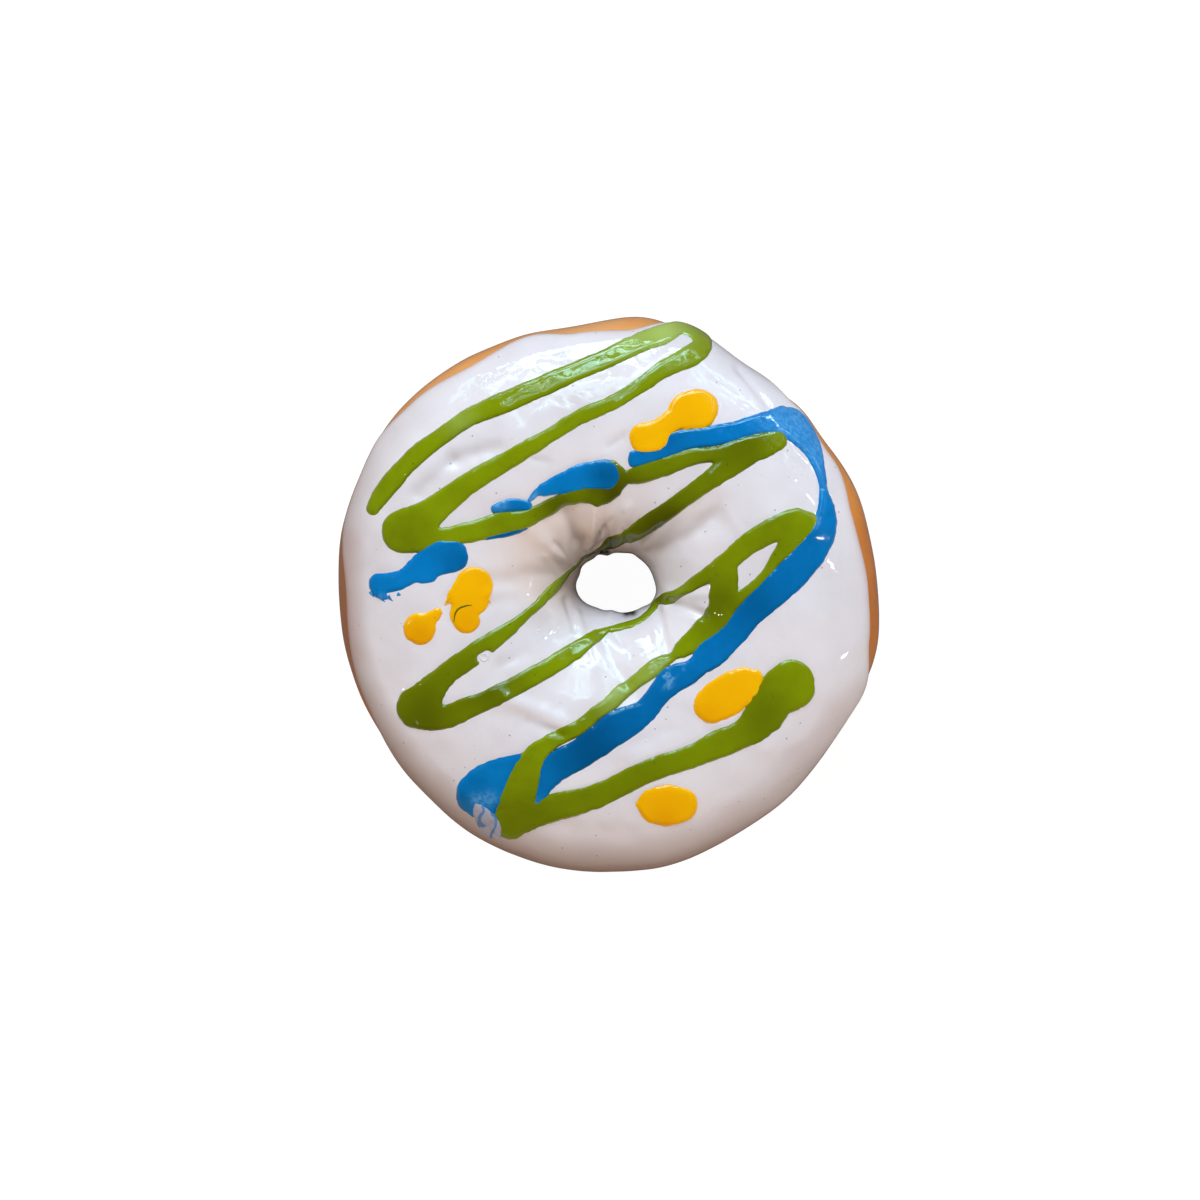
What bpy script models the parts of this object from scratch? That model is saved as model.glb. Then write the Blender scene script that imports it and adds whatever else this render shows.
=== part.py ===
"""Life-size ring doughnut: a fried dough ring under a poured coat of white icing.

Green and blue drizzle and yellow dabs lie on the icing and are fused to it.
Lengths are in millimetres and angles in degrees, and the last step scales the pieces to metres.
"""

import math

import bmesh
import bpy
import numpy as np
from mathutils import Vector, noise

MM = 0.001

# The dough ring, seen as a section turned about the hole's centre.
HOLE_CENTRE = (1.3, 2.0)
HOLE_HALF_AXES = (8.5, 6.9)
RIM_RADIUS = 47.9
EQUATOR_HEIGHT = 14.5
CROWN_RISE = 17.0
KEEL_DROP = 16.0
SHOULDER_FULLNESS = 0.86

# Lumps of the rim: direction, how far it bulges or sinks, and how wide.
RIM_LUMPS = (
    (2, 0.3, 7),
    (21, 0.5, 9),
    (34, -0.25, 6),
    (43, 0.3, 5),
    (58.5, -1.15, 9),
    (83, 2.3, 12),
    (109, 0.35, 7),
    (136, 2.1, 26),
    (148, 0.4, 9),
    (168, 1.0, 12),
    (195, 0.6, 20),
    (238, 0.25, 7),
    (256, 0.8, 26),
    (280, 0.35, 7),
    (298, -0.4, 8),
    (320, -0.8, 14),
    (345, 1.4, 12),
)
# Lumps of the throat of the hole, in the same way.
HOLE_LUMPS = (
    (60, 0.3, 10),
    (104, -0.3, 8),
    (121, 0.35, 8),
    (150, 0.2, 14),
    (168, -0.35, 10),
    (232, -0.25, 14),
    (262, -0.35, 12),
    (330, 0.3, 8),
    (345, 0.6, 16),
)
# High and low places of the crown, in the same way.
CROWN_LUMPS = (
    (35, -0.5, 30),
    (150, 0.5, 34),
    (285, 0.4, 30),
)

# The icing: its clearance to the dough, its thickness, and the roll at its edge.
ICING_GAP = 0.45
ICING_THICKNESS = 1.7
ICING_EDGE_THICKNESS = 0.8
ICING_EDGE_ROLL = 2.2
ICING_THICKENS_OVER = 12.0

# How far down the section the icing ran, by direction: 90 is the crown, 0 the equator, 180 the throat.
ICING_RIM_EDGE = (
    (0, 29), (17, 31), (30, 22), (45, 17), (58, -4), (69, -4), (87, 31), (98, 26), (108, 20), (124, 29),
    (138, 24), (150, 19), (165, 21), (182, 30), (205, 25), (225, 14), (265, -6), (310, 0), (334, 10), (348, 28),
)
ICING_HOLE_EDGE = 190.0
ICING_HOLE_EDGE_WAVE = 6.0
ICING_HOLE_EDGE_WAVES = 3
ICING_HOLE_EDGE_TURN = 0.8

# Creases, strokes and dabs are drawn as an eye sees them that leans over the ring from one side.
EYE_LEAN = 4.0
EYE_SIDE = 48.0
EYE_DISTANCE = 900.0

# Creases and ridges of the icing: from, to, how deep (ridges are positive), and how wide.
FOLDS = (
    ((-2.6, 16.0), (-5.0, 8.0), 0.6, 1.5),
    ((-6.4, -2.0), (-5.6, -9.0), -0.6, 1.2),
    ((-9.5, -1.5), (-8.5, -8.0), 0.4, 1.6),
    ((1.0, -8.0), (-5.0, -25.0), 0.4, 2.2),
    ((-13.0, -19.5), (-5.5, -25.5), -0.5, 1.8),
    ((3.4, 22.5), (1.2, 13.5), -0.5, 1.4),
    ((10.5, -0.6), (19.0, -3.8), -0.6, 1.3),
    ((11.5, 1.5), (20.0, 0.5), 0.3, 1.8),
    ((9.2, -2.8), (10.2, -9.5), -0.5, 1.2),
    ((15.0, 17.5), (24.0, 13.0), 0.4, 2.0),
    ((-33.0, 19.0), (-16.0, 28.5), -0.4, 2.4),
)
DIMPLE_SIZE = 9.0
DIMPLE_DEPTH = 0.3

# Drizzle and dabs: each stroke is x, y and half width along its middle.
GREEN_STROKES = {
    "top_run": (
        (-42.6, 15.7, 1.3), (-37.0, 22.9, 1.8), (-29.5, 29.2, 1.9), (-20.0, 34.1, 2.0), (-10.0, 38.3, 1.9),
        (0.0, 42.6, 2.1), (7.5, 46.0, 2.2), (12.6, 47.9, 1.6), (15.8, 46.5, 1.8),
    ),
    "second_run": (
        (16.4, 45.6, 2.1), (12.5, 41.7, 1.9), (5.0, 37.7, 1.4), (-5.0, 31.4, 1.3), (-15.0, 26.0, 1.7),
        (-25.0, 20.0, 1.9), (-31.0, 15.8, 2.3), (-36.3, 11.4, 4.1),
    ),
    "third_run": (
        (-36.3, 11.4, 4.1), (-30.0, 10.2, 1.9), (-20.0, 12.4, 2.0), (-10.0, 15.8, 1.7), (-4.6, 18.0, 1.4),
        (0.2, 19.2, 3.1), (3.4, 20.9, 1.1), (9.0, 22.4, 1.9), (17.0, 24.9, 1.9), (25.0, 26.1, 2.5),
        (30.6, 27.5, 1.8),
    ),
    "into_hole": (
        (25.0, 25.5, 2.0), (20.0, 21.5, 1.7), (12.5, 16.0, 1.8), (7.4, 12.4, 1.3), (4.6, 11.0, 1.5),
        (2.4, 10.1, 0.9), (0.4, 8.9, 1.1), (-3.0, 7.3, 0.7), (-7.4, 3.4, 0.7), (-10.5, -0.5, 0.9),
        (-17.0, -5.3, 1.0), (-20.5, -8.3, 1.7), (-27.0, -13.0, 2.1), (-34.3, -20.4, 4.1),
    ),
    "under_hole": (
        (-34.3, -20.4, 4.1), (-28.0, -21.5, 2.2), (-18.0, -17.0, 2.0), (-9.0, -12.0, 1.8), (-3.5, -8.1, 1.4),
        (0.0, -6.1, 0.6), (4.0, -5.5, 0.6), (7.8, -2.9, 0.6), (9.5, -1.0, 1.1), (11.3, -0.4, 0.8),
        (14.5, 2.0, 1.5), (20.5, 4.6, 2.1), (27.5, 10.4, 2.1), (33.6, 12.8, 2.5),
    ),
    "return_run": (
        (33.6, 12.8, 2.5), (30.2, 5.4, 1.3), (26.0, 0.6, 1.1), (20.8, 0.2, 2.7), (18.2, -4.6, 2.2),
        (13.4, -9.7, 1.5), (11.9, -11.1, 1.0), (8.6, -13.3, 1.3), (5.4, -15.8, 1.1), (1.0, -19.0, 1.5),
        (-4.5, -22.6, 1.6), (-7.0, -25.2, 1.2), (-12.0, -28.6, 2.0), (-15.3, -34.0, 3.0), (-16.8, -40.3, 3.9),
    ),
    "bridge": ((21.0, 5.0, 2.2), (20.8, 0.2, 2.7)),
    "last_run": (
        (-16.8, -40.3, 3.9), (-9.5, -38.5, 2.4), (2.0, -34.6, 2.1), (14.0, -29.7, 2.1), (22.0, -26.2, 2.7),
        (28.2, -21.8, 3.3), (32.8, -15.9, 4.0),
    ),
}
BLUE_STROKES = {
    "corner_run": (
        (5.2, 24.8, 1.4), (14.0, 27.6, 1.7), (24.0, 29.6, 1.8), (33.2, 30.9, 3.0), (36.6, 27.6, 2.2),
        (38.6, 22.0, 0.9), (39.1, 18.5, 0.9), (39.0, 13.4, 2.3), (35.6, 5.9, 2.4), (26.5, -2.6, 3.0),
        (20.0, -9.6, 2.2), (14.5, -13.8, 2.5), (5.0, -22.2, 2.3), (-1.5, -25.7, 2.7), (-9.3, -31.0, 2.2),
        (-12.2, -36.0, 0.9), (-13.7, -38.6, 0.4),
    ),
    "lower_corner": ((-14.5, -32.0, 2.6), (-19.0, -33.2, 3.2), (-23.7, -35.9, 3.9), (-20.9, -41.3, 2.4)),
    "hole_dab": ((-11.4, 18.5, 1.2), (-5.5, 21.3, 2.0), (-1.1, 21.5, 2.8)),
    "crossed_dab": ((-20.2, 12.6, 2.0), (-17.8, 13.3, 3.1), (-15.4, 14.1, 2.4)),
    "left_dab": ((-41.7, 1.8, 1.8), (-36.0, 3.6, 2.1), (-28.3, 7.0, 3.1)),
}
YELLOW_STROKES = {
    "top_pair": ((6.4, 27.8, 2.6), (9.3, 29.5, 2.0), (11.6, 30.9, 1.8), (15.7, 33.1, 3.9)),
    "left_pair": ((-24.3, 1.0, 3.6), (-25.0, -1.0, 3.5), (-25.8, -4.0, 2.9)),
    "left_dot": ((-33.9, -6.3, 3.0), (-30.8, -3.6, 0.9)),
    "right_dab": ((18.2, -19.9, 3.0), (21.6, -17.7, 3.9), (24.8, -15.9, 2.8)),
    "low_dab": ((7.8, -38.1, 2.9), (10.5, -38.0, 3.7), (13.1, -38.0, 3.1)),
}
DRIZZLE_RISE = 0.8
DRIZZLE_SINK = 0.9
DRIZZLE_LAYER = 0.09
DRIZZLE_FLOOR = 0.15
DRIZZLE_FROM_SHARE = 0.05
DRIZZLE_LEAST_SINK = -0.4
CLING_FROM = 0.93
CLING_ROOM = 0.055
DRIZZLE_STEP = 5.0
DAB_STEP = 2.2
ROUND_END_TURNS = (35, 65, 84)
WELD_DISTANCE = 1e-4

# How finely the solids are faceted.
DOUGH_FACES_ROUND = 64
DOUGH_FACES_SECTION = 20
ICING_FACES_ROUND = 80
ICING_FACES_TOP = 18
ICING_FACES_UNDER = 15
EDGE_FACES_CLOSER = 0.05
TORUS_RADIUS = 30.0
TORUS_TUBE = 10.0

COLOURS = {
    "dough": ((0.57, 0.22, 0.045, 1.0), 0.3),
    "icing": ((0.78, 0.77, 0.82, 1.0), 0.12),
}


def lumps(angle, places):
    """Sum of smooth bulges round the ring, at an angle in radians."""
    total = 0.0
    for direction, rise, spread in places:
        away = (math.degrees(angle) - direction + 180) % 360 - 180
        total += rise * math.exp(-((away / spread) ** 2))
    return total


def hole_reach(angle):
    """Radius of the dough's throat from the hole's centre."""
    across, along = HOLE_HALF_AXES
    ellipse = across * along / math.hypot(along * math.cos(angle), across * math.sin(angle))
    return ellipse + lumps(angle, HOLE_LUMPS)


def rim_reach(angle):
    """Radius of the dough's rim from the hole's centre, which lies a little off the ring's middle."""
    off_middle = HOLE_CENTRE[0] * math.cos(angle) + HOLE_CENTRE[1] * math.sin(angle)
    return RIM_RADIUS + lumps(angle, RIM_LUMPS) - off_middle


def icing_rim_edge(angle):
    """Section angle of the icing's outer edge, in radians, eased between the places that are given."""
    degrees = math.degrees(angle) % 360
    places = ICING_RIM_EDGE + ((360 + ICING_RIM_EDGE[0][0], ICING_RIM_EDGE[0][1]),)
    for (start, low), (end, high) in zip(places, places[1:]):
        if start <= degrees <= end:
            share = (degrees - start) / (end - start)
            eased = share * share * (3 - 2 * share)
            return math.radians(low + (high - low) * eased)
    return math.radians(places[0][1])


def icing_hole_edge(angle):
    """Section angle of the icing's edge inside the hole, in radians."""
    wave = math.sin(ICING_HOLE_EDGE_WAVES * angle + ICING_HOLE_EDGE_TURN)
    return math.radians(ICING_HOLE_EDGE + ICING_HOLE_EDGE_WAVE * wave)


def across_ring(x, y, cover):
    """Direction of a place from the hole's centre, and how far across the ring it lies, from -1 to 1."""
    dx = x - HOLE_CENTRE[0]
    dy = y - HOLE_CENTRE[1]
    angle = math.atan2(dy, dx)
    inner = hole_reach(angle) - cover
    outer = rim_reach(angle) + cover
    return angle, (2 * math.hypot(dx, dy) - inner - outer) / (outer - inner)


def true_place(x, y):
    """Plan place of a point of the icing that the leaning eye sees at x, y."""
    cover = ICING_GAP + ICING_THICKNESS
    across = across_ring(x, y, cover)[1]
    height = (CROWN_RISE + cover) * math.sqrt(max(0.0, 1 - across * across))
    nearer = 1 - height / EYE_DISTANCE
    lean = height * math.tan(math.radians(EYE_LEAN))
    side = math.radians(EYE_SIDE)
    return Vector((x * nearer + lean * math.cos(side), y * nearer + lean * math.sin(side)))


def fold_relief(x, y):
    """How far creases, ridges and dimples lift or sink the icing at a plan place."""
    total = 0.0
    for start, end, rise, width in FOLDS:
        run = true_place(*end) - true_place(*start)
        from_start = Vector((x, y)) - true_place(*start)
        share = min(1.0, max(0.0, from_start.dot(run) / run.length_squared))
        away = (from_start - run * share).length
        total += rise * math.exp(-((away / width) ** 2))
    dimple = noise.noise(Vector((x, y, 0.0)) / DIMPLE_SIZE)
    return total + DIMPLE_DEPTH * dimple


def ring_point(angle, section, lift):
    """Point of the doughnut: angle round the hole, section angle round the dough, lift off the dough's skin."""
    inner = hole_reach(angle)
    outer = rim_reach(angle)
    half_width = (outer - inner) / 2
    rise = CROWN_RISE + lumps(angle, CROWN_LUMPS) if section_is_up(section) else KEEL_DROP
    across = math.cos(section)
    up = math.sin(section)
    level = math.copysign(abs(up) ** SHOULDER_FULLNESS, up)
    outward = Vector((across / half_width, up / rise)).normalized()
    radius = (inner + outer) / 2 + half_width * across + lift * outward[0]
    height = EQUATOR_HEIGHT + rise * level + lift * outward[1]
    x = HOLE_CENTRE[0] + radius * math.cos(angle)
    y = HOLE_CENTRE[1] + radius * math.sin(angle)
    return Vector((x, y, max(0.0, height)))


def section_is_up(section):
    """Whether a section angle lies on the upper half of the ring."""
    return math.sin(section) >= 0


def icing_lift(angle, section, from_edge):
    """Height of the icing's outer face over the dough, rolled down at its edge."""
    share = min(1.0, from_edge / ICING_THICKENS_OVER)
    thickness = ICING_EDGE_THICKNESS + (ICING_THICKNESS - ICING_EDGE_THICKNESS) * share
    roll = math.sqrt(1 - (1 - min(1.0, from_edge / ICING_EDGE_ROLL)) ** 2)
    base = ring_point(angle, section, ICING_GAP + thickness)
    fade = max(0.0, math.sin(section)) * share
    return ICING_GAP + thickness * roll + fold_relief(base.x, base.y) * fade


def icing_top_point(x, y, rise):
    """Point on the icing's outer face at a plan place, raised by rise but never through the icing."""
    angle, across = across_ring(x, y, ICING_GAP + ICING_THICKNESS)
    section = math.acos(cling(across))
    lift = icing_lift(angle, section, edge_distance(angle, section))
    return ring_point(angle, section, max(lift + rise, ICING_GAP + DRIZZLE_FLOOR))


def cling(across):
    """Keeps a place that would hang past the ring's sides on them, from -1 at the throat to 1 at the rim."""
    past = abs(across) - CLING_FROM
    if past <= 0:
        return across
    return math.copysign(CLING_FROM + CLING_ROOM * math.tanh(past / CLING_ROOM), across)


def edge_distance(angle, section):
    """Rough distance along the skin from the nearer edge of the icing."""
    mean_radius = (CROWN_RISE + (rim_reach(angle) - hole_reach(angle)) / 2) / 2
    to_rim = section - icing_rim_edge(angle)
    to_hole = icing_hole_edge(angle) - section
    return max(0.0, mean_radius * min(to_rim, to_hole))


def new_torus(name, faces_round, faces_section):
    """A plain torus whose vertices a shape function then moves."""
    bpy.ops.mesh.primitive_torus_add(
        major_segments=faces_round,
        minor_segments=faces_section,
        major_radius=TORUS_RADIUS,
        minor_radius=TORUS_TUBE,
    )
    torus = bpy.context.object
    torus.name = name
    torus.data.name = name
    return torus


def torus_angles(co):
    """Angle round the torus and angle round its tube, each from 0 to a full turn."""
    angle = math.atan2(co.y, co.x) % math.tau
    tube = math.atan2(co.z, math.hypot(co.x, co.y) - TORUS_RADIUS) % math.tau
    return angle, tube


def make_dough():
    """The dough ring, flat underneath where it fried and rested."""
    dough = new_torus("dough", DOUGH_FACES_ROUND, DOUGH_FACES_SECTION)
    for vertex in dough.data.vertices:
        angle, tube = torus_angles(vertex.co)
        vertex.co = ring_point(angle, tube, 0.0)
    return dough


def make_icing():
    """The icing coat: the torus's tube is pressed into a crescent that lies over the dough."""
    icing = new_torus("icing", ICING_FACES_ROUND, ICING_FACES_TOP + ICING_FACES_UNDER)
    top_turn = math.tau * ICING_FACES_TOP / (ICING_FACES_TOP + ICING_FACES_UNDER)
    for vertex in icing.data.vertices:
        angle, tube = torus_angles(vertex.co)
        low = icing_rim_edge(angle)
        high = icing_hole_edge(angle)
        on_top = tube <= top_turn + 1e-4
        share = tube / top_turn if on_top else (math.tau - tube) / (math.tau - top_turn)
        spread = share - EDGE_FACES_CLOSER * math.sin(math.tau * share)
        section = low + (high - low) * spread
        lift = icing_lift(angle, section, edge_distance(angle, section)) if on_top else ICING_GAP
        vertex.co = ring_point(angle, section, lift)
    return icing


def smooth_path(points, step):
    """Points of a stroke on a smooth curve through the given ones, about a step apart, with round ends."""
    given = [Vector(p) for p in points]
    before = [given[0] * 2 - given[1]] + given
    after = given + [given[-1] * 2 - given[-2]]
    path = []
    for i in range(len(given) - 1):
        a, b, c, d = before[i], given[i], given[i + 1], after[i + 2]
        pieces = max(1, round((c - b).to_2d().length / step))
        for k in range(pieces):
            t = k / pieces
            path.append(
                0.5 * ((2 * b) + (c - a) * t + (2 * a - 5 * b + 4 * c - d) * t**2 + (3 * b - a - 3 * c + d) * t**3)
            )
    path.append(given[-1])
    return round_end(path[0], path[1])[::-1] + path + round_end(path[-1], path[-2])


def round_end(end, neighbour):
    """Points past a stroke's end that close it with a half circle."""
    direction = (end - neighbour).to_2d().normalized()
    points = []
    for degrees in ROUND_END_TURNS:
        turn = math.radians(degrees)
        middle = end.to_2d() + direction * end.z * math.sin(turn)
        points.append(Vector((middle.x, middle.y, end.z * math.cos(turn))))
    return points


def make_stroke(name, points, step, height):
    """One stroke: a round tube of varying width, flattened and laid on the icing."""
    places = [(*true_place(x, y), half_width) for x, y, half_width in points]
    path = smooth_path(places, step)
    line = bpy.data.curves.new(name, "CURVE")
    line.dimensions = "3D"
    line.bevel_depth = 1.0
    line.bevel_resolution = 1
    line.use_fill_caps = True
    line.twist_mode = "Z_UP"
    spline = line.splines.new("POLY")
    spline.points.add(len(path) - 1)
    for place, point in zip(spline.points, path):
        place.co = (point.x, point.y, 0.0, 1.0)
        place.radius = point.z
    tube = bpy.data.objects.new(name, line)
    bpy.context.scene.collection.objects.link(tube)
    mesh = bpy.data.meshes.new_from_object(tube.evaluated_get(bpy.context.evaluated_depsgraph_get()))
    bpy.data.objects.remove(tube)
    shape = bmesh.new()
    shape.from_mesh(mesh)
    bmesh.ops.remove_doubles(shape, verts=shape.verts, dist=WELD_DISTANCE)
    middles = np.array([point[:] for point in path])
    for vertex in shape.verts:
        nearest = np.argmin(np.hypot(middles[:, 0] - vertex.co.x, middles[:, 1] - vertex.co.y))
        share = max(-1.0, min(1.0, vertex.co.z / middles[nearest, 2]))
        full = min(1.0, middles[nearest, 2])
        if share > DRIZZLE_FROM_SHARE:
            rise = height * full * share
        else:
            rise = DRIZZLE_SINK * min(share, DRIZZLE_LEAST_SINK)
        vertex.co = icing_top_point(vertex.co.x, vertex.co.y, rise)
    bmesh.ops.recalc_face_normals(shape, faces=shape.faces)
    shape.to_mesh(mesh)
    shape.free()
    return bpy.data.objects.new(name, mesh)


def fuse_drizzle(icing):
    """Joins every stroke and dab to the icing by one Boolean union."""
    toppings = bpy.data.collections.new("toppings")
    bpy.context.scene.collection.children.link(toppings)
    for strokes, step in ((GREEN_STROKES, DRIZZLE_STEP), (BLUE_STROKES, DRIZZLE_STEP), (YELLOW_STROKES, DAB_STEP)):
        for order, (name, points) in enumerate(strokes.items()):
            height = DRIZZLE_RISE + DRIZZLE_LAYER * (order % 3)
            toppings.objects.link(make_stroke(name, points, step, height))
    union = icing.modifiers.new("drizzle", "BOOLEAN")
    union.operation = "UNION"
    union.operand_type = "COLLECTION"
    union.collection = toppings
    union.solver = "EXACT"
    union.use_self = True
    bpy.context.view_layer.objects.active = icing
    bpy.ops.object.modifier_apply(modifier=union.name)
    for stroke in list(toppings.objects):
        bpy.data.objects.remove(stroke)
    bpy.data.collections.remove(toppings)


def give_material(piece, name):
    """A plain finish of the piece's colour."""
    colour, roughness = COLOURS[name]
    material = bpy.data.materials.new(name)
    material.use_nodes = True
    shader = material.node_tree.nodes["Principled BSDF"]
    shader.inputs["Base Color"].default_value = colour
    shader.inputs["Roughness"].default_value = roughness
    shader.inputs["Metallic"].default_value = 0.0
    piece.data.materials.clear()
    piece.data.materials.append(material)


def to_metres(piece, collection):
    """Scales a piece's mesh from millimetres and files it with the doughnut."""
    for vertex in piece.data.vertices:
        vertex.co *= MM
    piece.data.shade_smooth()
    for other in list(piece.users_collection):
        other.objects.unlink(piece)
    collection.objects.link(piece)


def main():
    for thing in list(bpy.data.objects):
        bpy.data.objects.remove(thing)
    doughnut = bpy.data.collections.new("frosted_doughnut")
    bpy.context.scene.collection.children.link(doughnut)
    dough = make_dough()
    icing = make_icing()
    fuse_drizzle(icing)
    for piece in (dough, icing):
        give_material(piece, piece.name)
        to_metres(piece, doughnut)


main()
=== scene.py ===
# %% [markdown]
# # A ring doughnut with drizzle, under a gloss clear coat
#
# The real thing is a life-size display doughnut: a golden ring, a thick white coat that was poured
# over it, zigzags of green and blue laid on with a nozzle, a few yellow dabs put on with a brush,
# and a clear coat over everything that makes it look wet.
#
# The ring and its coat already exist as solids. They are loaded here as a fixed frame, and every
# surface below is worked out in the same coordinates, so that nothing has to be fitted afterwards.

# %% Load the fixed frame
import math

import bmesh
import bpy
import numpy as np
from mathutils import Matrix, Vector, noise


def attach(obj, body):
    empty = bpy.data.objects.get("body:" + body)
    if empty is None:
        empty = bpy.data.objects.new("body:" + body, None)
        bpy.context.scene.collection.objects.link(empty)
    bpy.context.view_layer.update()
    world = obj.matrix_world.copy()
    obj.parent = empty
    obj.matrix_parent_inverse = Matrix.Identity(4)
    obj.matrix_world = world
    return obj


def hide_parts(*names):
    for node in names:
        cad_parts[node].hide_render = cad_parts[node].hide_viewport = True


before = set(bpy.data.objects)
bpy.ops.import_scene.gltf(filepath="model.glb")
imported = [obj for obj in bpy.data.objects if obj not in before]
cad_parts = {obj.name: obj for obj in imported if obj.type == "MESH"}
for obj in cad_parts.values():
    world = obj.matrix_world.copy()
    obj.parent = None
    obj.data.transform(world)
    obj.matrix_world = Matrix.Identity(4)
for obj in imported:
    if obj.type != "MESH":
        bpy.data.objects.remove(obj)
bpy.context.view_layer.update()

MM = 0.001

# %% [markdown]
# ## The camera comes first
#
# The drizzle was measured on a picture, so its strokes are drawn as that picture shows them. To lay
# them on the coat they are projected from the place where the camera stood. That was almost
# straight above, leaning a few degrees towards the top right: more of the golden rim shows on that
# side, and more of the hole's wall on the other one. A long lens far away keeps the ring's outline
# round, as the picture has it.

# %% Place the camera
EYE_LEAN = math.radians(4.0)
EYE_SIDE = math.radians(48.0)
EYE_DISTANCE = 900.0
PICTURE_WIDTH = 216.0
RING_OFF_CENTRE = (1.53, 1.08)
SENSOR_WIDTH = 36.0
EQUATOR_HEIGHT = 14.5

towards_eye = Vector((
    math.sin(EYE_LEAN) * math.cos(EYE_SIDE),
    math.sin(EYE_LEAN) * math.sin(EYE_SIDE),
    math.cos(EYE_LEAN),
))
picture_up = (Vector((0, 1, 0)) - towards_eye * towards_eye.y).normalized()
picture_right = picture_up.cross(towards_eye)
aim = Vector((0, 0, EQUATOR_HEIGHT)) - picture_right * RING_OFF_CENTRE[0] - picture_up * RING_OFF_CENTRE[1]
eye = aim + towards_eye * EYE_DISTANCE

camera = bpy.data.objects.new("camera", bpy.data.cameras.new("camera"))
camera.data.sensor_width = SENSOR_WIDTH
camera.data.lens = SENSOR_WIDTH * EYE_DISTANCE / PICTURE_WIDTH
turned = Matrix((picture_right, picture_up, towards_eye)).transposed().to_4x4()
camera.matrix_world = Matrix.Translation(eye * MM) @ turned
bpy.context.scene.collection.objects.link(camera)
bpy.context.scene.camera = camera


def seen_from_camera(points):
    """Where the camera sees each point, in millimetres right and up of the ring's middle."""
    from_aim = points - np.array(aim)
    depth = EYE_DISTANCE - from_aim @ np.array(towards_eye)
    scale = EYE_DISTANCE / depth
    x = from_aim @ np.array(picture_right) * scale - RING_OFF_CENTRE[0]
    y = from_aim @ np.array(picture_up) * scale - RING_OFF_CENTRE[1]
    return x, y


print("lens", round(camera.data.lens, 1), "mm, eye at", [round(c) for c in eye], "mm")

# %% [markdown]
# ## One formula for the whole ring
#
# A doughnut is a torus that nobody made perfectly. It could be sculpted, but then the coat, the
# drizzle and the dough would each need fitting to the others. Instead one formula gives a point for
# three numbers: the angle round the hole, the angle round the dough's section, and the lift off the
# dough's skin. The lumps are the handful of places where the real ring bulges or sinks.

# %% Shape of the ring
HOLE_CENTRE = (1.3, 2.0)
HOLE_HALF_AXES = (8.5, 6.9)
RIM_RADIUS = 47.9
CROWN_RISE = 17.0
KEEL_DROP = 16.0
SHOULDER_FULLNESS = 0.86
RIM_LUMPS = (
    (2, 0.3, 7), (21, 0.5, 9), (34, -0.25, 6), (43, 0.3, 5), (58.5, -1.15, 9), (83, 2.3, 12), (109, 0.35, 7),
    (136, 2.1, 26), (148, 0.4, 9), (168, 1.0, 12), (195, 0.6, 20), (238, 0.25, 7), (256, 0.8, 26),
    (280, 0.35, 7), (298, -0.4, 8), (320, -0.8, 14), (345, 1.4, 12),
)
HOLE_LUMPS = (
    (60, 0.3, 10), (104, -0.3, 8), (121, 0.35, 8), (150, 0.2, 14), (168, -0.35, 10), (232, -0.25, 14),
    (262, -0.35, 12), (330, 0.3, 8), (345, 0.6, 16),
)
CROWN_LUMPS = ((35, -0.5, 30), (150, 0.5, 34), (285, 0.4, 30))


def lumps(angle, places):
    """Sum of smooth bulges round the ring: each place is a direction, a rise and a spread."""
    total = np.zeros_like(angle)
    for direction, rise, spread in places:
        away = (np.degrees(angle) - direction + 180) % 360 - 180
        total += rise * np.exp(-((away / spread) ** 2))
    return total


def reaches(angle):
    """Radius of the throat and of the rim, from the hole's centre."""
    across, along = HOLE_HALF_AXES
    inner = across * along / np.hypot(along * np.cos(angle), across * np.sin(angle))
    off_middle = HOLE_CENTRE[0] * np.cos(angle) + HOLE_CENTRE[1] * np.sin(angle)
    return inner + lumps(angle, HOLE_LUMPS), RIM_RADIUS + lumps(angle, RIM_LUMPS) - off_middle


def ring_points(angle, section, lift):
    """Points of the ring, one for each angle round the hole, section angle and lift off the dough."""
    inner, outer = reaches(angle)
    half_width = (outer - inner) / 2
    up = np.sin(section)
    rise = np.where(up >= 0, CROWN_RISE + lumps(angle, CROWN_LUMPS), KEEL_DROP)
    lean_out = np.cos(section) / half_width
    lean_up = up / rise
    length = np.hypot(lean_out, lean_up)
    level = np.copysign(np.abs(up) ** SHOULDER_FULLNESS, up)
    radius = (inner + outer) / 2 + half_width * np.cos(section) + lift * lean_out / length
    height = EQUATOR_HEIGHT + rise * level + lift * lean_up / length
    x = HOLE_CENTRE[0] + radius * np.cos(angle)
    y = HOLE_CENTRE[1] + radius * np.sin(angle)
    return np.column_stack((x, y, np.maximum(height, 0.0)))


# %% [markdown]
# ## A plain torus to bend
#
# Blender's spin operator turns a closed section round an axis. Its vertices still know where they
# are on the plain torus, so their two angles can be read back, also after some were added or cut
# away. The formula above then moves each of them to its place on the doughnut.

# %% Helpers for turned meshes
TORUS_RADIUS = 30.0
TORUS_TUBE = 10.0


def coordinates(mesh):
    """Every vertex of a bmesh as one array."""
    return np.array([vertex.co[:] for vertex in mesh.verts])


def move_to(mesh, points):
    """Moves the vertices of a bmesh to the given points."""
    for vertex, point in zip(mesh.verts, points):
        vertex.co = point


def torus_angles(points):
    """Angle round the plain torus, and angle round its tube from 0 to a full turn."""
    angle = np.arctan2(points[:, 1], points[:, 0])
    tube = np.arctan2(points[:, 2], np.hypot(points[:, 0], points[:, 1]) - TORUS_RADIUS)
    return angle, np.where(tube < -1e-5, tube + math.tau, np.abs(tube))


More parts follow.
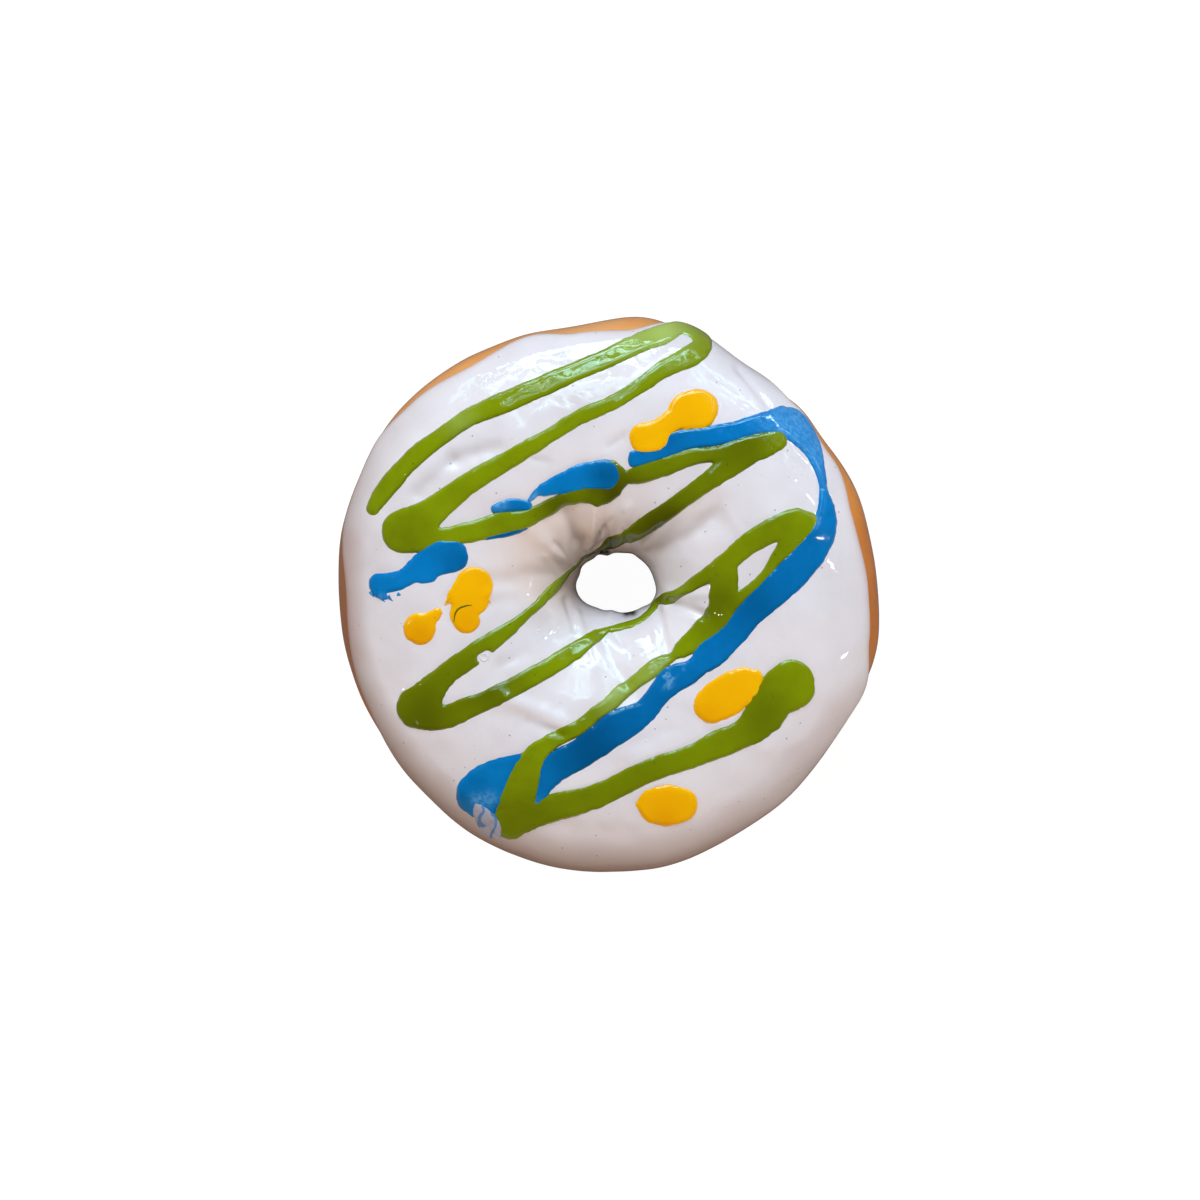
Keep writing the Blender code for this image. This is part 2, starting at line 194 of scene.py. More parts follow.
def spun_torus(faces_round, faces_section, radius=TORUS_RADIUS, tube_radius=TORUS_TUBE):
    """A plain torus: a circle of the tube's size, spun round the hole."""
    mesh = bmesh.new()
    bmesh.ops.create_circle(mesh, segments=faces_section, radius=tube_radius)
    upright = Matrix.Translation((radius, 0, 0)) @ Matrix.Rotation(math.pi / 2, 4, "X")
    bmesh.ops.transform(mesh, matrix=upright @ Matrix.Rotation(-math.pi / 2, 4, "Z"), verts=mesh.verts)
    bmesh.ops.spin(
        mesh, geom=mesh.verts[:] + mesh.edges[:], cent=(0, 0, 0), axis=(0, 0, 1),
        angle=math.tau, steps=faces_round, use_merge=True,
    )
    bmesh.ops.recalc_face_normals(mesh, faces=mesh.faces)
    return mesh


def finished_piece(name, mesh, body="root", sharp_above=60):
    """Makes an object of a bmesh that is in millimetres, shades it smooth and lets it ride on a body."""
    bmesh.ops.scale(mesh, vec=(MM, MM, MM), verts=mesh.verts)
    bmesh.ops.recalc_face_normals(mesh, faces=mesh.faces)
    data = bpy.data.meshes.new(name)
    mesh.to_mesh(data)
    mesh.free()
    data.shade_smooth()
    data.set_sharp_from_angle(angle=math.radians(sharp_above))
    piece = bpy.data.objects.new(name, data)
    bpy.context.scene.collection.objects.link(piece)
    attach(piece, body)
    print(name, len(data.polygons), "faces")
    return piece


def add_attribute(piece, name, values):
    """Stores one number for each vertex, which a material can read."""
    attribute = piece.data.attributes.new(name, "FLOAT", "POINT")
    attribute.data.foreach_set("value", np.asarray(values, np.float32))


# %% [markdown]
# ## The golden ring
#
# The dough shows as a thin golden rim and, from the side and below, as the whole lower half. The
# solid has the right form but broad facets, which the clear coat would mirror as flat patches. A
# finer ring from the same formula stands for it. Its skin swells and sinks by a few tenths of a
# millimetre, as fried dough does, and always inwards, so that it keeps clear of the coat.

# %% Make the dough
DOUGH_FACES_ROUND = 320
DOUGH_FACES_SECTION = 120
DOUGH_SWELL = 0.22
DOUGH_SWELL_SIZE = 7.0


def noise_at(points, size, seed=0.0):
    """Smooth noise from about -1 to 1, one value for each point, with lumps of the given size."""
    shifted = points / size + seed
    return np.array([noise.noise(Vector(point)) for point in shifted])


dough_mesh = spun_torus(DOUGH_FACES_ROUND, DOUGH_FACES_SECTION)
angle, tube = torus_angles(coordinates(dough_mesh))
smooth_skin = ring_points(angle, tube, np.zeros_like(angle))
swell = DOUGH_SWELL * (noise_at(smooth_skin, DOUGH_SWELL_SIZE) - 1) / 2
move_to(dough_mesh, ring_points(angle, tube, np.where(smooth_skin[:, 2] > 0, swell, 0)))
dough = finished_piece("golden_ring", dough_mesh)
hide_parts("dough")

# %% [markdown]
# ## The poured coat
#
# The white coat ran down the ring and stopped in a wavy, rolled edge, and inside the hole it ends
# just under the throat. It is a closed shell: the upper part of the torus's tube becomes its outer
# face, and the rest its hidden inner face.
#
# What makes it look poured is its relief. There are long soft dents, and sharper creases where the
# coat was dragged into the hole. Each crease is a short line with a depth and a width, drawn where
# the picture shows it.

# %% Shape of the coat
ICING_GAP = 0.45
ICING_THICKNESS = 1.7
ICING_EDGE_THICKNESS = 0.74
ICING_EDGE_ROLL = 2.2
ICING_THICKENS_OVER = 12.0
RELIEF_FADES_OVER = 7.0
THINNEST = 0.3
ICING_RIM_EDGE = (
    (0, 29), (17, 31), (30, 22), (45, 17), (58, -4), (69, -4), (87, 31), (98, 26), (108, 20), (124, 29),
    (138, 24), (150, 19), (165, 21), (182, 30), (205, 25), (225, 14), (265, -6), (310, 0), (334, 10),
    (348, 28),
)
ICING_HOLE_EDGE = 190.0
ICING_HOLE_EDGE_WAVE = 6.0
ICING_HOLE_EDGE_WAVES = 3
ICING_HOLE_EDGE_TURN = 0.8
# Each crease runs from one place to another, with its depth (a ridge is positive) and its width.
FOLDS = (
    ((-34.0, 18.3), (-28.0, 24.0), -0.45, 1.7),
    ((-28.0, 24.0), (-20.0, 26.2), -0.4, 1.4),
    ((-13.5, 24.2), (-11.0, 23.8), -0.3, 0.6),
    ((0.0, 26.6), (2.4, 28.2), -0.3, 0.9),
    ((-2.3, 16.4), (-3.7, 8.6), 0.8, 1.15),
    ((-7.4, 15.0), (-5.8, 9.6), -0.85, 1.6),
    ((-15.5, 12.6), (-11.5, 9.4), 0.5, 1.7),
    ((-10.0, 7.6), (-6.4, 5.6), 0.55, 1.1),
    ((-21.0, 2.4), (-9.0, 3.8), -0.5, 1.9),
    ((-22.0, -1.6), (-17.5, -1.0), -0.3, 1.3),
    ((-1.0, 13.0), (0.6, 9.6), -0.3, 0.7),
    ((3.4, 15.5), (2.6, 11.0), 0.35, 0.9),
    ((7.6, 6.8), (19.0, 13.6), -0.8, 2.3),
    ((12.0, 16.4), (20.5, 20.4), 0.3, 2.4),
    ((20.8, 15.6), (24.0, 11.0), 0.2, 0.8),
    ((11.2, -1.6), (17.2, -3.9), -0.6, 0.9),
    ((11.0, 0.0), (17.5, -0.2), 0.3, 1.2),
    ((8.8, -3.0), (10.6, -10.4), -0.45, 0.9),
    ((12.6, -4.4), (13.0, -7.6), 0.15, 1.5),
    ((-1.4, -8.2), (3.2, -16.0), -0.5, 1.1),
    ((-3.6, -8.6), (-3.0, -18.0), 0.25, 2.0),
    ((5.2, -7.4), (6.4, -12.4), 0.15, 2.0),
    ((-18.0, -18.9), (-8.2, -23.4), 0.5, 1.4),
    ((-14.5, -22.4), (-8.2, -25.2), -0.35, 1.0),
    ((-21.0, -21.6), (-15.5, -23.4), -0.3, 1.8),
    ((-14.0, -2.0), (-6.6, -5.0), 0.35, 1.8),
    ((-19.5, -12.6), (-15.0, -10.6), -0.25, 1.2),
    ((5.0, -26.6), (13.5, -23.6), -0.2, 1.5),
    ((4.0, -29.2), (12.0, -26.4), 0.15, 1.4),
    ((14.0, -21.6), (19.0, -24.4), -0.2, 1.4),
    ((23.4, 40.6), (28.8, 34.0), -0.35, 0.7),
    ((28.0, -27.5), (36.0, -24.5), 0.3, 2.2),
    ((-6.0, -43.0), (4.0, -43.6), -0.3, 2.0),
    ((36.0, 3.0), (37.0, -8.0), -0.2, 2.6),
    ((-0.4, 9.6), (-3.9, 7.9), -0.35, 0.35),
    ((0.4, 13.4), (-1.6, 10.8), -0.3, 0.4),
    ((-4.0, 10.4), (-4.8, 8.0), -0.35, 0.45),
    ((0.6, -7.0), (2.6, -9.0), -0.25, 0.4),
    ((-2.2, 14.2), (-1.8, 9.4), -0.25, 0.5),
    ((-9.6, 9.2), (-6.6, 5.2), -0.3, 0.5),
    ((-11.5, 6.8), (-8.0, 3.0), 0.25, 0.7),
    ((2.6, 14.4), (3.4, 9.6), -0.25, 0.5),
    ((6.4, 9.4), (9.4, 12.6), -0.25, 0.6),
    ((-7.6, -1.0), (-6.2, -6.4), -0.35, 0.6),
    ((-5.6, -3.2), (-4.6, -6.6), 0.25, 0.6),
)
FOLD_STRENGTH = 1.3
FOLD_UNEVEN = 0.45
FOLD_UNEVEN_SIZE = 3.0
# Soft dents, each kind with its size and its depth.
DIMPLES = ((9.0, 0.3), (4.2, 0.16), (2.0, 0.045))


def rim_edge(angle):
    """Section angle of the coat's outer edge, eased between the places that are given."""
    directions = np.array([place[0] for place in ICING_RIM_EDGE] + [360 + ICING_RIM_EDGE[0][0]])
    lows = np.array([place[1] for place in ICING_RIM_EDGE] + [ICING_RIM_EDGE[0][1]])
    degrees = np.degrees(angle) % 360
    start = np.clip(np.searchsorted(directions, degrees, side="right") - 1, 0, len(directions) - 2)
    share = (degrees - directions[start]) / (directions[start + 1] - directions[start])
    eased = share * share * (3 - 2 * share)
    return np.radians(lows[start] + (lows[start + 1] - lows[start]) * eased)


def hole_edge(angle):
    """Section angle of the coat's edge inside the hole."""
    wave = np.sin(ICING_HOLE_EDGE_WAVES * angle + ICING_HOLE_EDGE_TURN)
    return np.radians(ICING_HOLE_EDGE + ICING_HOLE_EDGE_WAVE * wave)


def from_edge(angle, section):
    """Rough distance along the skin from the nearer edge of the coat."""
    inner, outer = reaches(angle)
    mean_radius = (CROWN_RISE + (outer - inner) / 2) / 2
    return np.maximum(0.0, mean_radius * np.minimum(section - rim_edge(angle), hole_edge(angle) - section))


def crease_relief(x, y):
    """How far the creases lift or sink the coat at a place that the camera sees."""
    flat = np.column_stack((x, y, np.zeros_like(x)))
    strength = FOLD_STRENGTH * (1 + FOLD_UNEVEN * noise_at(flat, FOLD_UNEVEN_SIZE))
    total = np.zeros_like(x)
    for (x0, y0), (x1, y1), rise, width in FOLDS:
        along = ((x - x0) * (x1 - x0) + (y - y0) * (y1 - y0)) / ((x1 - x0) ** 2 + (y1 - y0) ** 2)
        share = np.clip(along, 0, 1)
        away = np.hypot(x - x0 - share * (x1 - x0), y - y0 - share * (y1 - y0))
        total += strength * rise * np.exp(-((away / width) ** 2))
    return total


def coat_lift(angle, section):
    """Height of the coat's outer face over the dough, with its creases, rolled down at its edge."""
    distance = from_edge(angle, section)
    share = np.clip(distance / ICING_THICKENS_OVER, 0, 1)
    thickness = ICING_EDGE_THICKNESS + (ICING_THICKNESS - ICING_EDGE_THICKNESS) * share
    roll = np.sqrt(1 - (1 - np.clip(distance / ICING_EDGE_ROLL, 0, 1)) ** 2)
    base = ring_points(angle, section, ICING_GAP + thickness)
    x, y = seen_from_camera(base)
    relief = crease_relief(x, y)
    for size, depth in DIMPLES:
        relief = relief + depth * noise_at(base * (1, 1, 0), size)
    fade = np.clip(distance / RELIEF_FADES_OVER, 0, 1) * np.sqrt(np.maximum(0, np.sin(section)))
    return ICING_GAP + np.maximum(thickness * roll + relief * fade, THINNEST * roll)


# %% [markdown]
# The faces are closest together near the two edges, where the coat curls over in a few tenths of a
# millimetre. The same pass stores how thin the coat is, because the dough shines through there,
# and how much it lies in shade.

# %% Make the coat
COAT_FACES_ROUND = 420
COAT_FACES_TOP = 150
COAT_FACES_UNDER = 24
EDGE_FACES_CLOSER = 0.05
THIN_EDGE = 3.4
# The coat is dim low on the near rim and deep on the far wall of the hole. Each has a direction, how
# far it spreads round the ring, and the section angles where it starts and over which it fades.
NEAR_RIM = (4.1, 0.25)
NEAR_RIM_FADE = math.radians(28)
NEAR_RIM_TOP = 1.8 * NEAR_RIM_FADE
FAR_WALL = (2.2, 0.5)
FAR_WALL_TOP = math.radians(122)
FAR_WALL_FADE = math.radians(70)


def turned_to(angle, direction, spread):
    """1 at a direction round the ring, falling to 0 well away from it."""
    return np.clip(spread + np.cos(angle - direction), 0, 1)


coat_mesh = spun_torus(COAT_FACES_ROUND, COAT_FACES_TOP + COAT_FACES_UNDER)
angle, tube = torus_angles(coordinates(coat_mesh))
top_turn = math.tau * COAT_FACES_TOP / (COAT_FACES_TOP + COAT_FACES_UNDER)
on_top = tube <= top_turn + 1e-4
share = np.where(on_top, tube / top_turn, (math.tau - tube) / (math.tau - top_turn))
spread = share - EDGE_FACES_CLOSER * np.sin(math.tau * share)
section = rim_edge(angle) + (hole_edge(angle) - rim_edge(angle)) * spread
move_to(coat_mesh, ring_points(angle, section, np.where(on_top, coat_lift(angle, section), ICING_GAP)))
coat = finished_piece("white_coat", coat_mesh)
add_attribute(coat, "thin", np.clip(1 - from_edge(angle, section) / THIN_EDGE, 0, 1) ** 2)
low_on_near_rim = np.clip((NEAR_RIM_TOP - section) / NEAR_RIM_FADE, 0, 1) * turned_to(angle, *NEAR_RIM)
deep_in_hole = np.clip((section - FAR_WALL_TOP) / FAR_WALL_FADE, 0, 1) * turned_to(angle, *FAR_WALL)
add_attribute(coat, "dim", np.clip(low_on_near_rim + deep_in_hole, 0, 1))
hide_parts("icing")

# %% [markdown]
# ## Drizzle as lines with a width
#
# A nozzle leaves a line that swells where the hand slows down and thins where it hurries, and that
# folds back on itself at each turn. Each stroke below is a list of places along its middle with half
# its width there, all in millimetres as the picture shows them. A smooth curve runs through them.
#
# The distance from any point to such a line is easy to work out, and it is negative inside the
# line. With it, strokes can be melted together where they meet, and the edge can be made uneven.

# %% Strokes of the drizzle and the dabs
GREEN_STROKES = (
    ((-42.5, 15.5, 1.3), (-40.4, 18.7, 1.85), (-35.0, 24.6, 1.8), (-30.0, 28.4, 1.6), (-25.0, 31.9, 1.7),
     (-20.0, 34.0, 2.0), (-15.0, 36.1, 1.9), (-10.0, 38.3, 1.9), (-5.0, 40.7, 1.8), (0.0, 42.8, 1.9),
     (5.0, 45.3, 2.0), (9.5, 47.0, 2.1), (13.4, 48.7, 1.6), (16.4, 47.2, 1.8), (17.0, 44.9, 1.8),
     (15.0, 43.0, 2.0), (10.0, 40.5, 1.6), (5.0, 37.0, 1.35), (0.0, 34.1, 1.4), (-5.0, 31.9, 1.4),
     (-10.0, 28.9, 1.35), (-15.0, 25.9, 1.6), (-20.0, 23.0, 1.8), (-25.0, 20.0, 2.0), (-30.0, 16.2, 2.4),
     (-34.0, 13.1, 3.3), (-36.8, 11.3, 3.9)),
    ((-36.8, 11.3, 3.9), (-33.0, 10.1, 2.7), (-30.0, 10.2, 1.8), (-25.0, 11.1, 1.9), (-20.0, 12.6, 2.0),
     (-15.0, 13.6, 1.6), (-10.0, 15.8, 1.5), (-5.0, 17.9, 1.5), (-0.8, 18.3, 2.1), (1.3, 20.0, 1.8),
     (3.2, 20.9, 1.2), (5.0, 21.3, 1.6), (10.0, 22.9, 1.7), (15.0, 24.6, 1.5), (20.0, 25.3, 1.5),
     (25.0, 25.9, 2.5), (30.3, 27.5, 1.9)),
    ((0.4, 22.2, 2.0), (1.6, 21.6, 1.6)),
    ((25.0, 25.0, 2.0), (22.0, 23.0, 2.0), (20.0, 21.8, 1.9), (15.0, 18.2, 1.6), (10.0, 14.5, 1.65),
     (5.2, 11.3, 1.6), (2.6, 10.1, 1.1), (0.6, 9.1, 1.2), (-1.4, 8.1, 0.4), (-4.4, 6.6, 0.28),
     (-7.3, 3.5, 0.42), (-10.0, 0.8, 0.9), (-15.0, -3.9, 0.85), (-17.5, -6.0, 1.25), (-20.0, -7.8, 1.6),
     (-25.0, -11.4, 2.0), (-30.0, -15.2, 2.1), (-34.5, -20.5, 3.7)),
    ((-34.5, -20.5, 3.7), (-30.0, -22.2, 2.3), (-25.0, -20.4, 1.95), (-20.0, -18.2, 1.75),
     (-15.0, -15.6, 1.75), (-10.0, -12.8, 1.7), (-5.0, -9.5, 1.55), (-2.0, -7.3, 1.0), (0.0, -6.3, 0.5),
     (2.0, -6.0, 0.7), (5.0, -5.0, 0.7), (7.0, -3.3, 0.6), (8.5, -1.2, 0.6), (10.0, -0.9, 1.0),
     (12.0, -0.2, 0.9), (15.0, 1.6, 1.2), (20.0, 4.8, 1.65), (25.0, 8.8, 2.0), (30.0, 11.7, 2.25),
     (34.0, 13.0, 2.5), (36.0, 12.6, 2.2)),
    ((35.0, 12.5, 2.2), (33.5, 10.5, 2.2), (30.5, 6.5, 1.2), (28.0, 3.2, 1.0), (25.0, 0.3, 1.0),
     (22.5, -1.5, 1.6)),
    ((20.8, 4.0, 2.4), (20.8, 0.0, 2.6), (20.3, -3.0, 2.6), (18.4, -5.5, 2.6), (15.8, -8.0, 2.1),
     (13.3, -9.9, 1.6), (11.7, -11.0, 0.9), (10.0, -12.1, 1.3), (7.5, -14.0, 1.5), (5.0, -15.7, 1.35),
     (2.5, -17.5, 1.5), (0.0, -20.0, 1.4), (-2.5, -21.7, 1.3), (-5.0, -24.0, 1.4), (-10.0, -26.4, 1.5),
     (-13.2, -29.2, 2.1), (-14.7, -32.0, 2.7), (-15.8, -35.5, 3.2), (-17.0, -39.0, 3.2),
     (-17.8, -41.3, 2.9)),
    ((-17.0, -40.5, 3.2), (-13.0, -39.5, 2.5), (-10.0, -38.5, 2.5), (-5.0, -37.3, 2.3), (0.0, -35.5, 2.1),
     (5.0, -32.9, 2.1), (10.0, -30.9, 2.1), (15.0, -29.2, 2.1), (20.0, -27.0, 2.6), (25.0, -24.7, 2.6),
     (29.0, -20.5, 4.0), (31.6, -17.2, 4.3), (33.0, -15.9, 4.1), (33.6, -17.0, 3.6)),
)
BLUE_STROKES_UNDER = (
    ((4.3, 23.4, 0.55), (4.2, 25.2, 0.5)),
    ((5.0, 24.3, 1.5), (10.0, 26.5, 2.2), (15.0, 28.0, 1.9), (20.0, 28.6, 1.9), (25.0, 30.0, 1.8),
     (29.0, 31.0, 2.1), (33.0, 31.0, 3.1), (36.5, 27.3, 2.2), (38.0, 23.8, 1.3), (38.8, 19.5, 0.75),
     (39.4, 15.5, 1.6)),
    ((-14.0, -31.0, 2.6), (-19.0, -31.9, 2.5), (-23.0, -34.5, 3.3), (-24.1, -36.6, 3.4),
     (-22.4, -38.6, 2.4)),
    ((-22.0, -35.5, 3.0), (-18.5, -35.8, 2.5)),
    ((-20.3, 15.3, 0.9), (-17.5, 16.0, 1.3), (-14.8, 15.9, 1.0)),
    ((-22.2, 10.1, 0.4), (-18.0, 10.9, 0.6), (-15.2, 12.2, 0.6)),
)
BLUE_STROKES_OVER = (
    ((38.9, 18.5, 0.8), (39.4, 15.5, 1.7), (39.0, 11.5, 2.4), (36.5, 7.5, 2.8), (33.0, 3.5, 2.9),
     (29.0, -0.2, 2.8), (25.5, -3.5, 2.5), (22.2, -7.6, 2.3), (18.4, -10.8, 2.7), (16.4, -12.6, 2.0),
     (14.6, -14.0, 2.2), (11.6, -15.4, 2.5), (9.4, -17.6, 2.1), (6.6, -21.0, 2.2), (4.6, -22.4, 2.6),
     (1.5, -24.0, 3.0), (-2.5, -27.0, 2.8), (-6.0, -29.3, 2.7), (-9.2, -31.0, 2.7), (-11.0, -34.0, 1.6),
     (-12.4, -36.6, 0.8), (-14.3, -39.9, 0.22)),
    ((-14.2, 16.9, 0.3), (-13.0, 18.2, 0.6), (-11.5, 18.8, 1.3), (-8.0, 20.0, 1.9), (-4.5, 21.2, 2.4),
     (-0.6, 21.5, 2.75)),
    ((-41.6, 1.9, 1.85), (-38.9, 2.1, 1.8), (-36.7, 2.9, 1.7), (-34.6, 4.4, 2.15), (-32.3, 5.6, 2.75),
     (-29.9, 6.6, 3.2), (-28.2, 6.8, 3.0)),
    ((-41.6, 0.2, 1.0), (-40.2, -0.6, 0.45)),
    ((-33.6, 3.4, 1.6), (-32.2, 3.4, 1.4)),
)
YELLOW_STROKES = (
    ((14.3, 33.0, 3.45), (16.2, 33.3, 3.6)),
    ((6.5, 28.1, 2.75), (8.2, 28.3, 2.8)),
    ((8.4, 29.0, 2.1), (10.5, 30.5, 2.0), (12.6, 32.0, 2.3)),
    ((-18.6, 16.6, 0.45), (-16.8, 16.9, 0.4)),
    ((-24.9, -0.4, 3.75), (-24.2, 1.4, 3.5)),
    ((-26.0, -3.6, 2.6), (-25.6, -4.6, 2.5)),
    ((-29.2, -1.9, 0.18), (-28.4, 0.2, 0.5)),
    ((-34.0, -6.3, 2.9), (-34.2, -6.2, 2.8)),
    ((-33.0, -5.2, 1.7), (-31.4, -3.9, 1.15), (-30.8, -3.3, 0.85)),
    ((18.6, -20.0, 3.3), (21.3, -18.3, 3.8), (24.2, -16.2, 3.15), (26.2, -15.2, 1.7)),
    ((8.2, -38.1, 3.0), (10.6, -38.0, 3.65), (13.0, -38.0, 3.1)),
    ((4.8, -37.9, 0.3), (5.6, -38.0, 0.6)),
)
# Places that the green left bare: a nick beside its broad end, and a spot round a burst bubble.
GREEN_NICKS = (
    ((31.4, -24.2, 0.5), (33.2, -22.3, 1.0), (35.4, -21.0, 0.55)),
    ((-22.7, -11.6, 0.95), (-21.8, -11.0, 0.8)),
)


PATH_STEP = 1.5


def smooth_path(points, step=PATH_STEP):
    """Places on a smooth curve through the given ones, about a step apart."""
    given = np.array(points)
    before = np.vstack((2 * given[0] - given[1], given[:-1]))
    after = np.vstack((given[1:], 2 * given[-1] - given[-2]))
    path = []
    for i in range(len(given) - 1):
        a, b, c, d = before[i], given[i], given[i + 1], after[i + 1]
        pieces = max(1, round(np.hypot(*(c - b)[:2]) / step))
        for t in np.arange(pieces) / pieces:
            bend = (2 * a - 5 * b + 4 * c - d) * t**2 + (3 * b - a - 3 * c + d) * t**3
            path.append((2 * b + (c - a) * t + bend) / 2)
    path.append(given[-1])
    return np.array(path)


def stroke_distance(x, y, points):
    """Distance from places to the edge of one stroke, negative inside it."""
    path = smooth_path(points)
    nearest = np.full_like(x, np.inf)
    for (x0, y0, w0), (x1, y1, w1) in zip(path, path[1:]):
        along = ((x - x0) * (x1 - x0) + (y - y0) * (y1 - y0)) / ((x1 - x0) ** 2 + (y1 - y0) ** 2)
        share = np.clip(along, 0, 1)
        away = np.hypot(x - x0 - share * (x1 - x0), y - y0 - share * (y1 - y0))
        nearest = np.minimum(nearest, away - w0 - share * (w1 - w0))
    return nearest


def melted(first, second, reach):
    """Joins two distances so that strokes flow together where they meet."""
    share = np.clip(0.5 + 0.5 * (second - first) / reach, 0, 1)
    return second * (1 - share) + first * share - reach * share * (1 - share)


# %% [markdown]
# ## Colours in layers
#
# Where two colours cross, the later one lies on top. The order can be read off the picture: first
# the blue that the green runs over, then the green, then the blue on top of it, and last the yellow
# dabs. Each layer is a low dome, and stands on what is under it.

# %% Layers and their height
MELT_REACH = 0.5
EDGE_UNEVEN = ((3.1, 0.14), (1.15, 0.1))
LAYERS = {
    "blue_under": {"strokes": BLUE_STROKES_UNDER, "nicks": (), "height": 0.34, "shoulder": 1.0, "seed": 3.0},
    "green": {"strokes": GREEN_STROKES, "nicks": GREEN_NICKS, "height": 0.38, "shoulder": 1.1, "seed": 11.0},
    "blue_over": {"strokes": BLUE_STROKES_OVER, "nicks": (), "height": 0.36, "shoulder": 1.0, "seed": 23.0},
    "yellow": {"strokes": YELLOW_STROKES, "nicks": (), "height": 0.42, "shoulder": 1.2, "seed": 37.0},
}
LAYER_SETTLES = 0.55
SETTLED_SHOULDER = 1.5
UNEVEN_WITHIN = 1.5
LOWEST_SECTION = math.radians(-2)
HIGHEST_SECTION = math.radians(176)
SKIN_RADIUS = 19.0


def layer_distance(name, angle, section):
    """Distance from places on the coat to the edge of one layer, negative inside it."""
    x, y = seen_from_camera(ring_points(angle, section, ICING_GAP + ICING_THICKNESS))
    layer = LAYERS[name]
    total = None
    for stroke in layer["strokes"]:
        distance = stroke_distance(x, y, stroke)
        total = distance if total is None else melted(total, distance, MELT_REACH)
    for nick in layer["nicks"]:
        total = np.maximum(total, -stroke_distance(x, y, nick))
    near = np.abs(total) < UNEVEN_WITHIN
    flat = np.column_stack((x, y, np.zeros_like(x)))
    for size, amount in EDGE_UNEVEN:
        total[near] += amount * noise_at(flat[near], size, layer["seed"])
    past_side = np.maximum(LOWEST_SECTION - section, section - HIGHEST_SECTION) * SKIN_RADIUS
    return np.maximum(total, past_side)


def dome(distance, height, shoulder):
    """Height of a drop's rounded top, from the distance to its edge."""
    share = np.clip(-distance / shoulder, 0, 1)
    return height * np.sqrt(1 - (1 - share) ** 2)


def layer_base(name, angle, section):
    """Height over the dough of what a layer lies on: the coat and the layers before it."""
    lift = coat_lift(angle, section)
    for other, layer in LAYERS.items():
        if other == name:
            break
        distance = layer_distance(other, angle, section)
        lift = lift + LAYER_SETTLES * dome(distance, layer["height"], SETTLED_SHOULDER * layer["shoulder"])
    return lift


# %% [markdown]
# ## Cutting the layers out of the coat
#
# A layer could be a flat picture on the coat, but a real drizzle has a rounded edge that catches the
# light. So each layer is a thin closed shell. A fine sheet is spun over the ring, and everything
# outside the strokes is deleted. The faces along the strokes' edge are subdivided, the ragged rim is
# pulled on to the true edge, and the sheet is extruded and domed. Its underside is sunk a little
# into the coat, so that no gap shows.

# %% Cut and dome a layer
SHEET_FACES_ROUND = 360
SHEET_FACES_SECTION = 130
FINE_BAND = (-1.1, 0.35)
BEDDING = 0.15
SCRAP_FACES = 24
ROUGH_MARGIN = 1.0


def spun_sheet(faces_round, faces_section):
    """The part of a plain torus that the coat covers, as an open sheet."""
    mesh = bmesh.new()
    turns = np.linspace(LOWEST_SECTION - 0.05, HIGHEST_SECTION + 0.05, faces_section + 1)
    arc = [
        mesh.verts.new((TORUS_RADIUS + TORUS_TUBE * math.cos(turn), 0, TORUS_TUBE * math.sin(turn)))
        for turn in turns
    ]
    edges = [mesh.edges.new(pair) for pair in zip(arc, arc[1:])]
    bmesh.ops.spin(
        mesh, geom=arc + edges, cent=(0, 0, 0), axis=(0, 0, 1),
        angle=math.tau, steps=faces_round, use_merge=True,
    )
    return mesh


def sheet_angles(points):
    """Angle round the ring and section angle of a sheet's vertices."""
    angle = np.arctan2(points[:, 1], points[:, 0])
    section = np.arctan2(points[:, 2], np.hypot(points[:, 0], points[:, 1]) - TORUS_RADIUS)
    return angle, np.where(section < -1, section + math.tau, section)


def delete_outside(mesh, name, margin):
    """Deletes the vertices that lie further than a margin outside a layer."""
    distance = layer_distance(name, *sheet_angles(coordinates(mesh)))
    outside = [vertex for vertex, d in zip(mesh.verts, distance) if d > margin]
    bmesh.ops.delete(mesh, geom=outside, context="VERTS")


def refine_edge(mesh, name):
    """Subdivides the faces that lie along a layer's edge."""
    distance = layer_distance(name, *sheet_angles(coordinates(mesh)))
    mesh.verts.index_update()
    near = set()
    for face in mesh.faces:
        values = [distance[vertex.index] for vertex in face.verts]
        if max(values) > FINE_BAND[0] and min(values) < FINE_BAND[1]:
            near.update(face.edges)
    bmesh.ops.subdivide_edges(mesh, edges=list(near), cuts=1, use_grid_fill=True)


def drop_scraps(mesh):
    """Deletes islands of only a few faces."""
    left = set(mesh.faces)
    while left:
        island = {left.pop()}
        edge_of_island = set(island)
        while edge_of_island:
            beside = {f for face in edge_of_island for edge in face.edges for f in edge.link_faces}
            edge_of_island = beside - island
            island |= beside
        left -= island
        if len(island) < SCRAP_FACES:
            bmesh.ops.delete(mesh, geom=list(island), context="FACES")


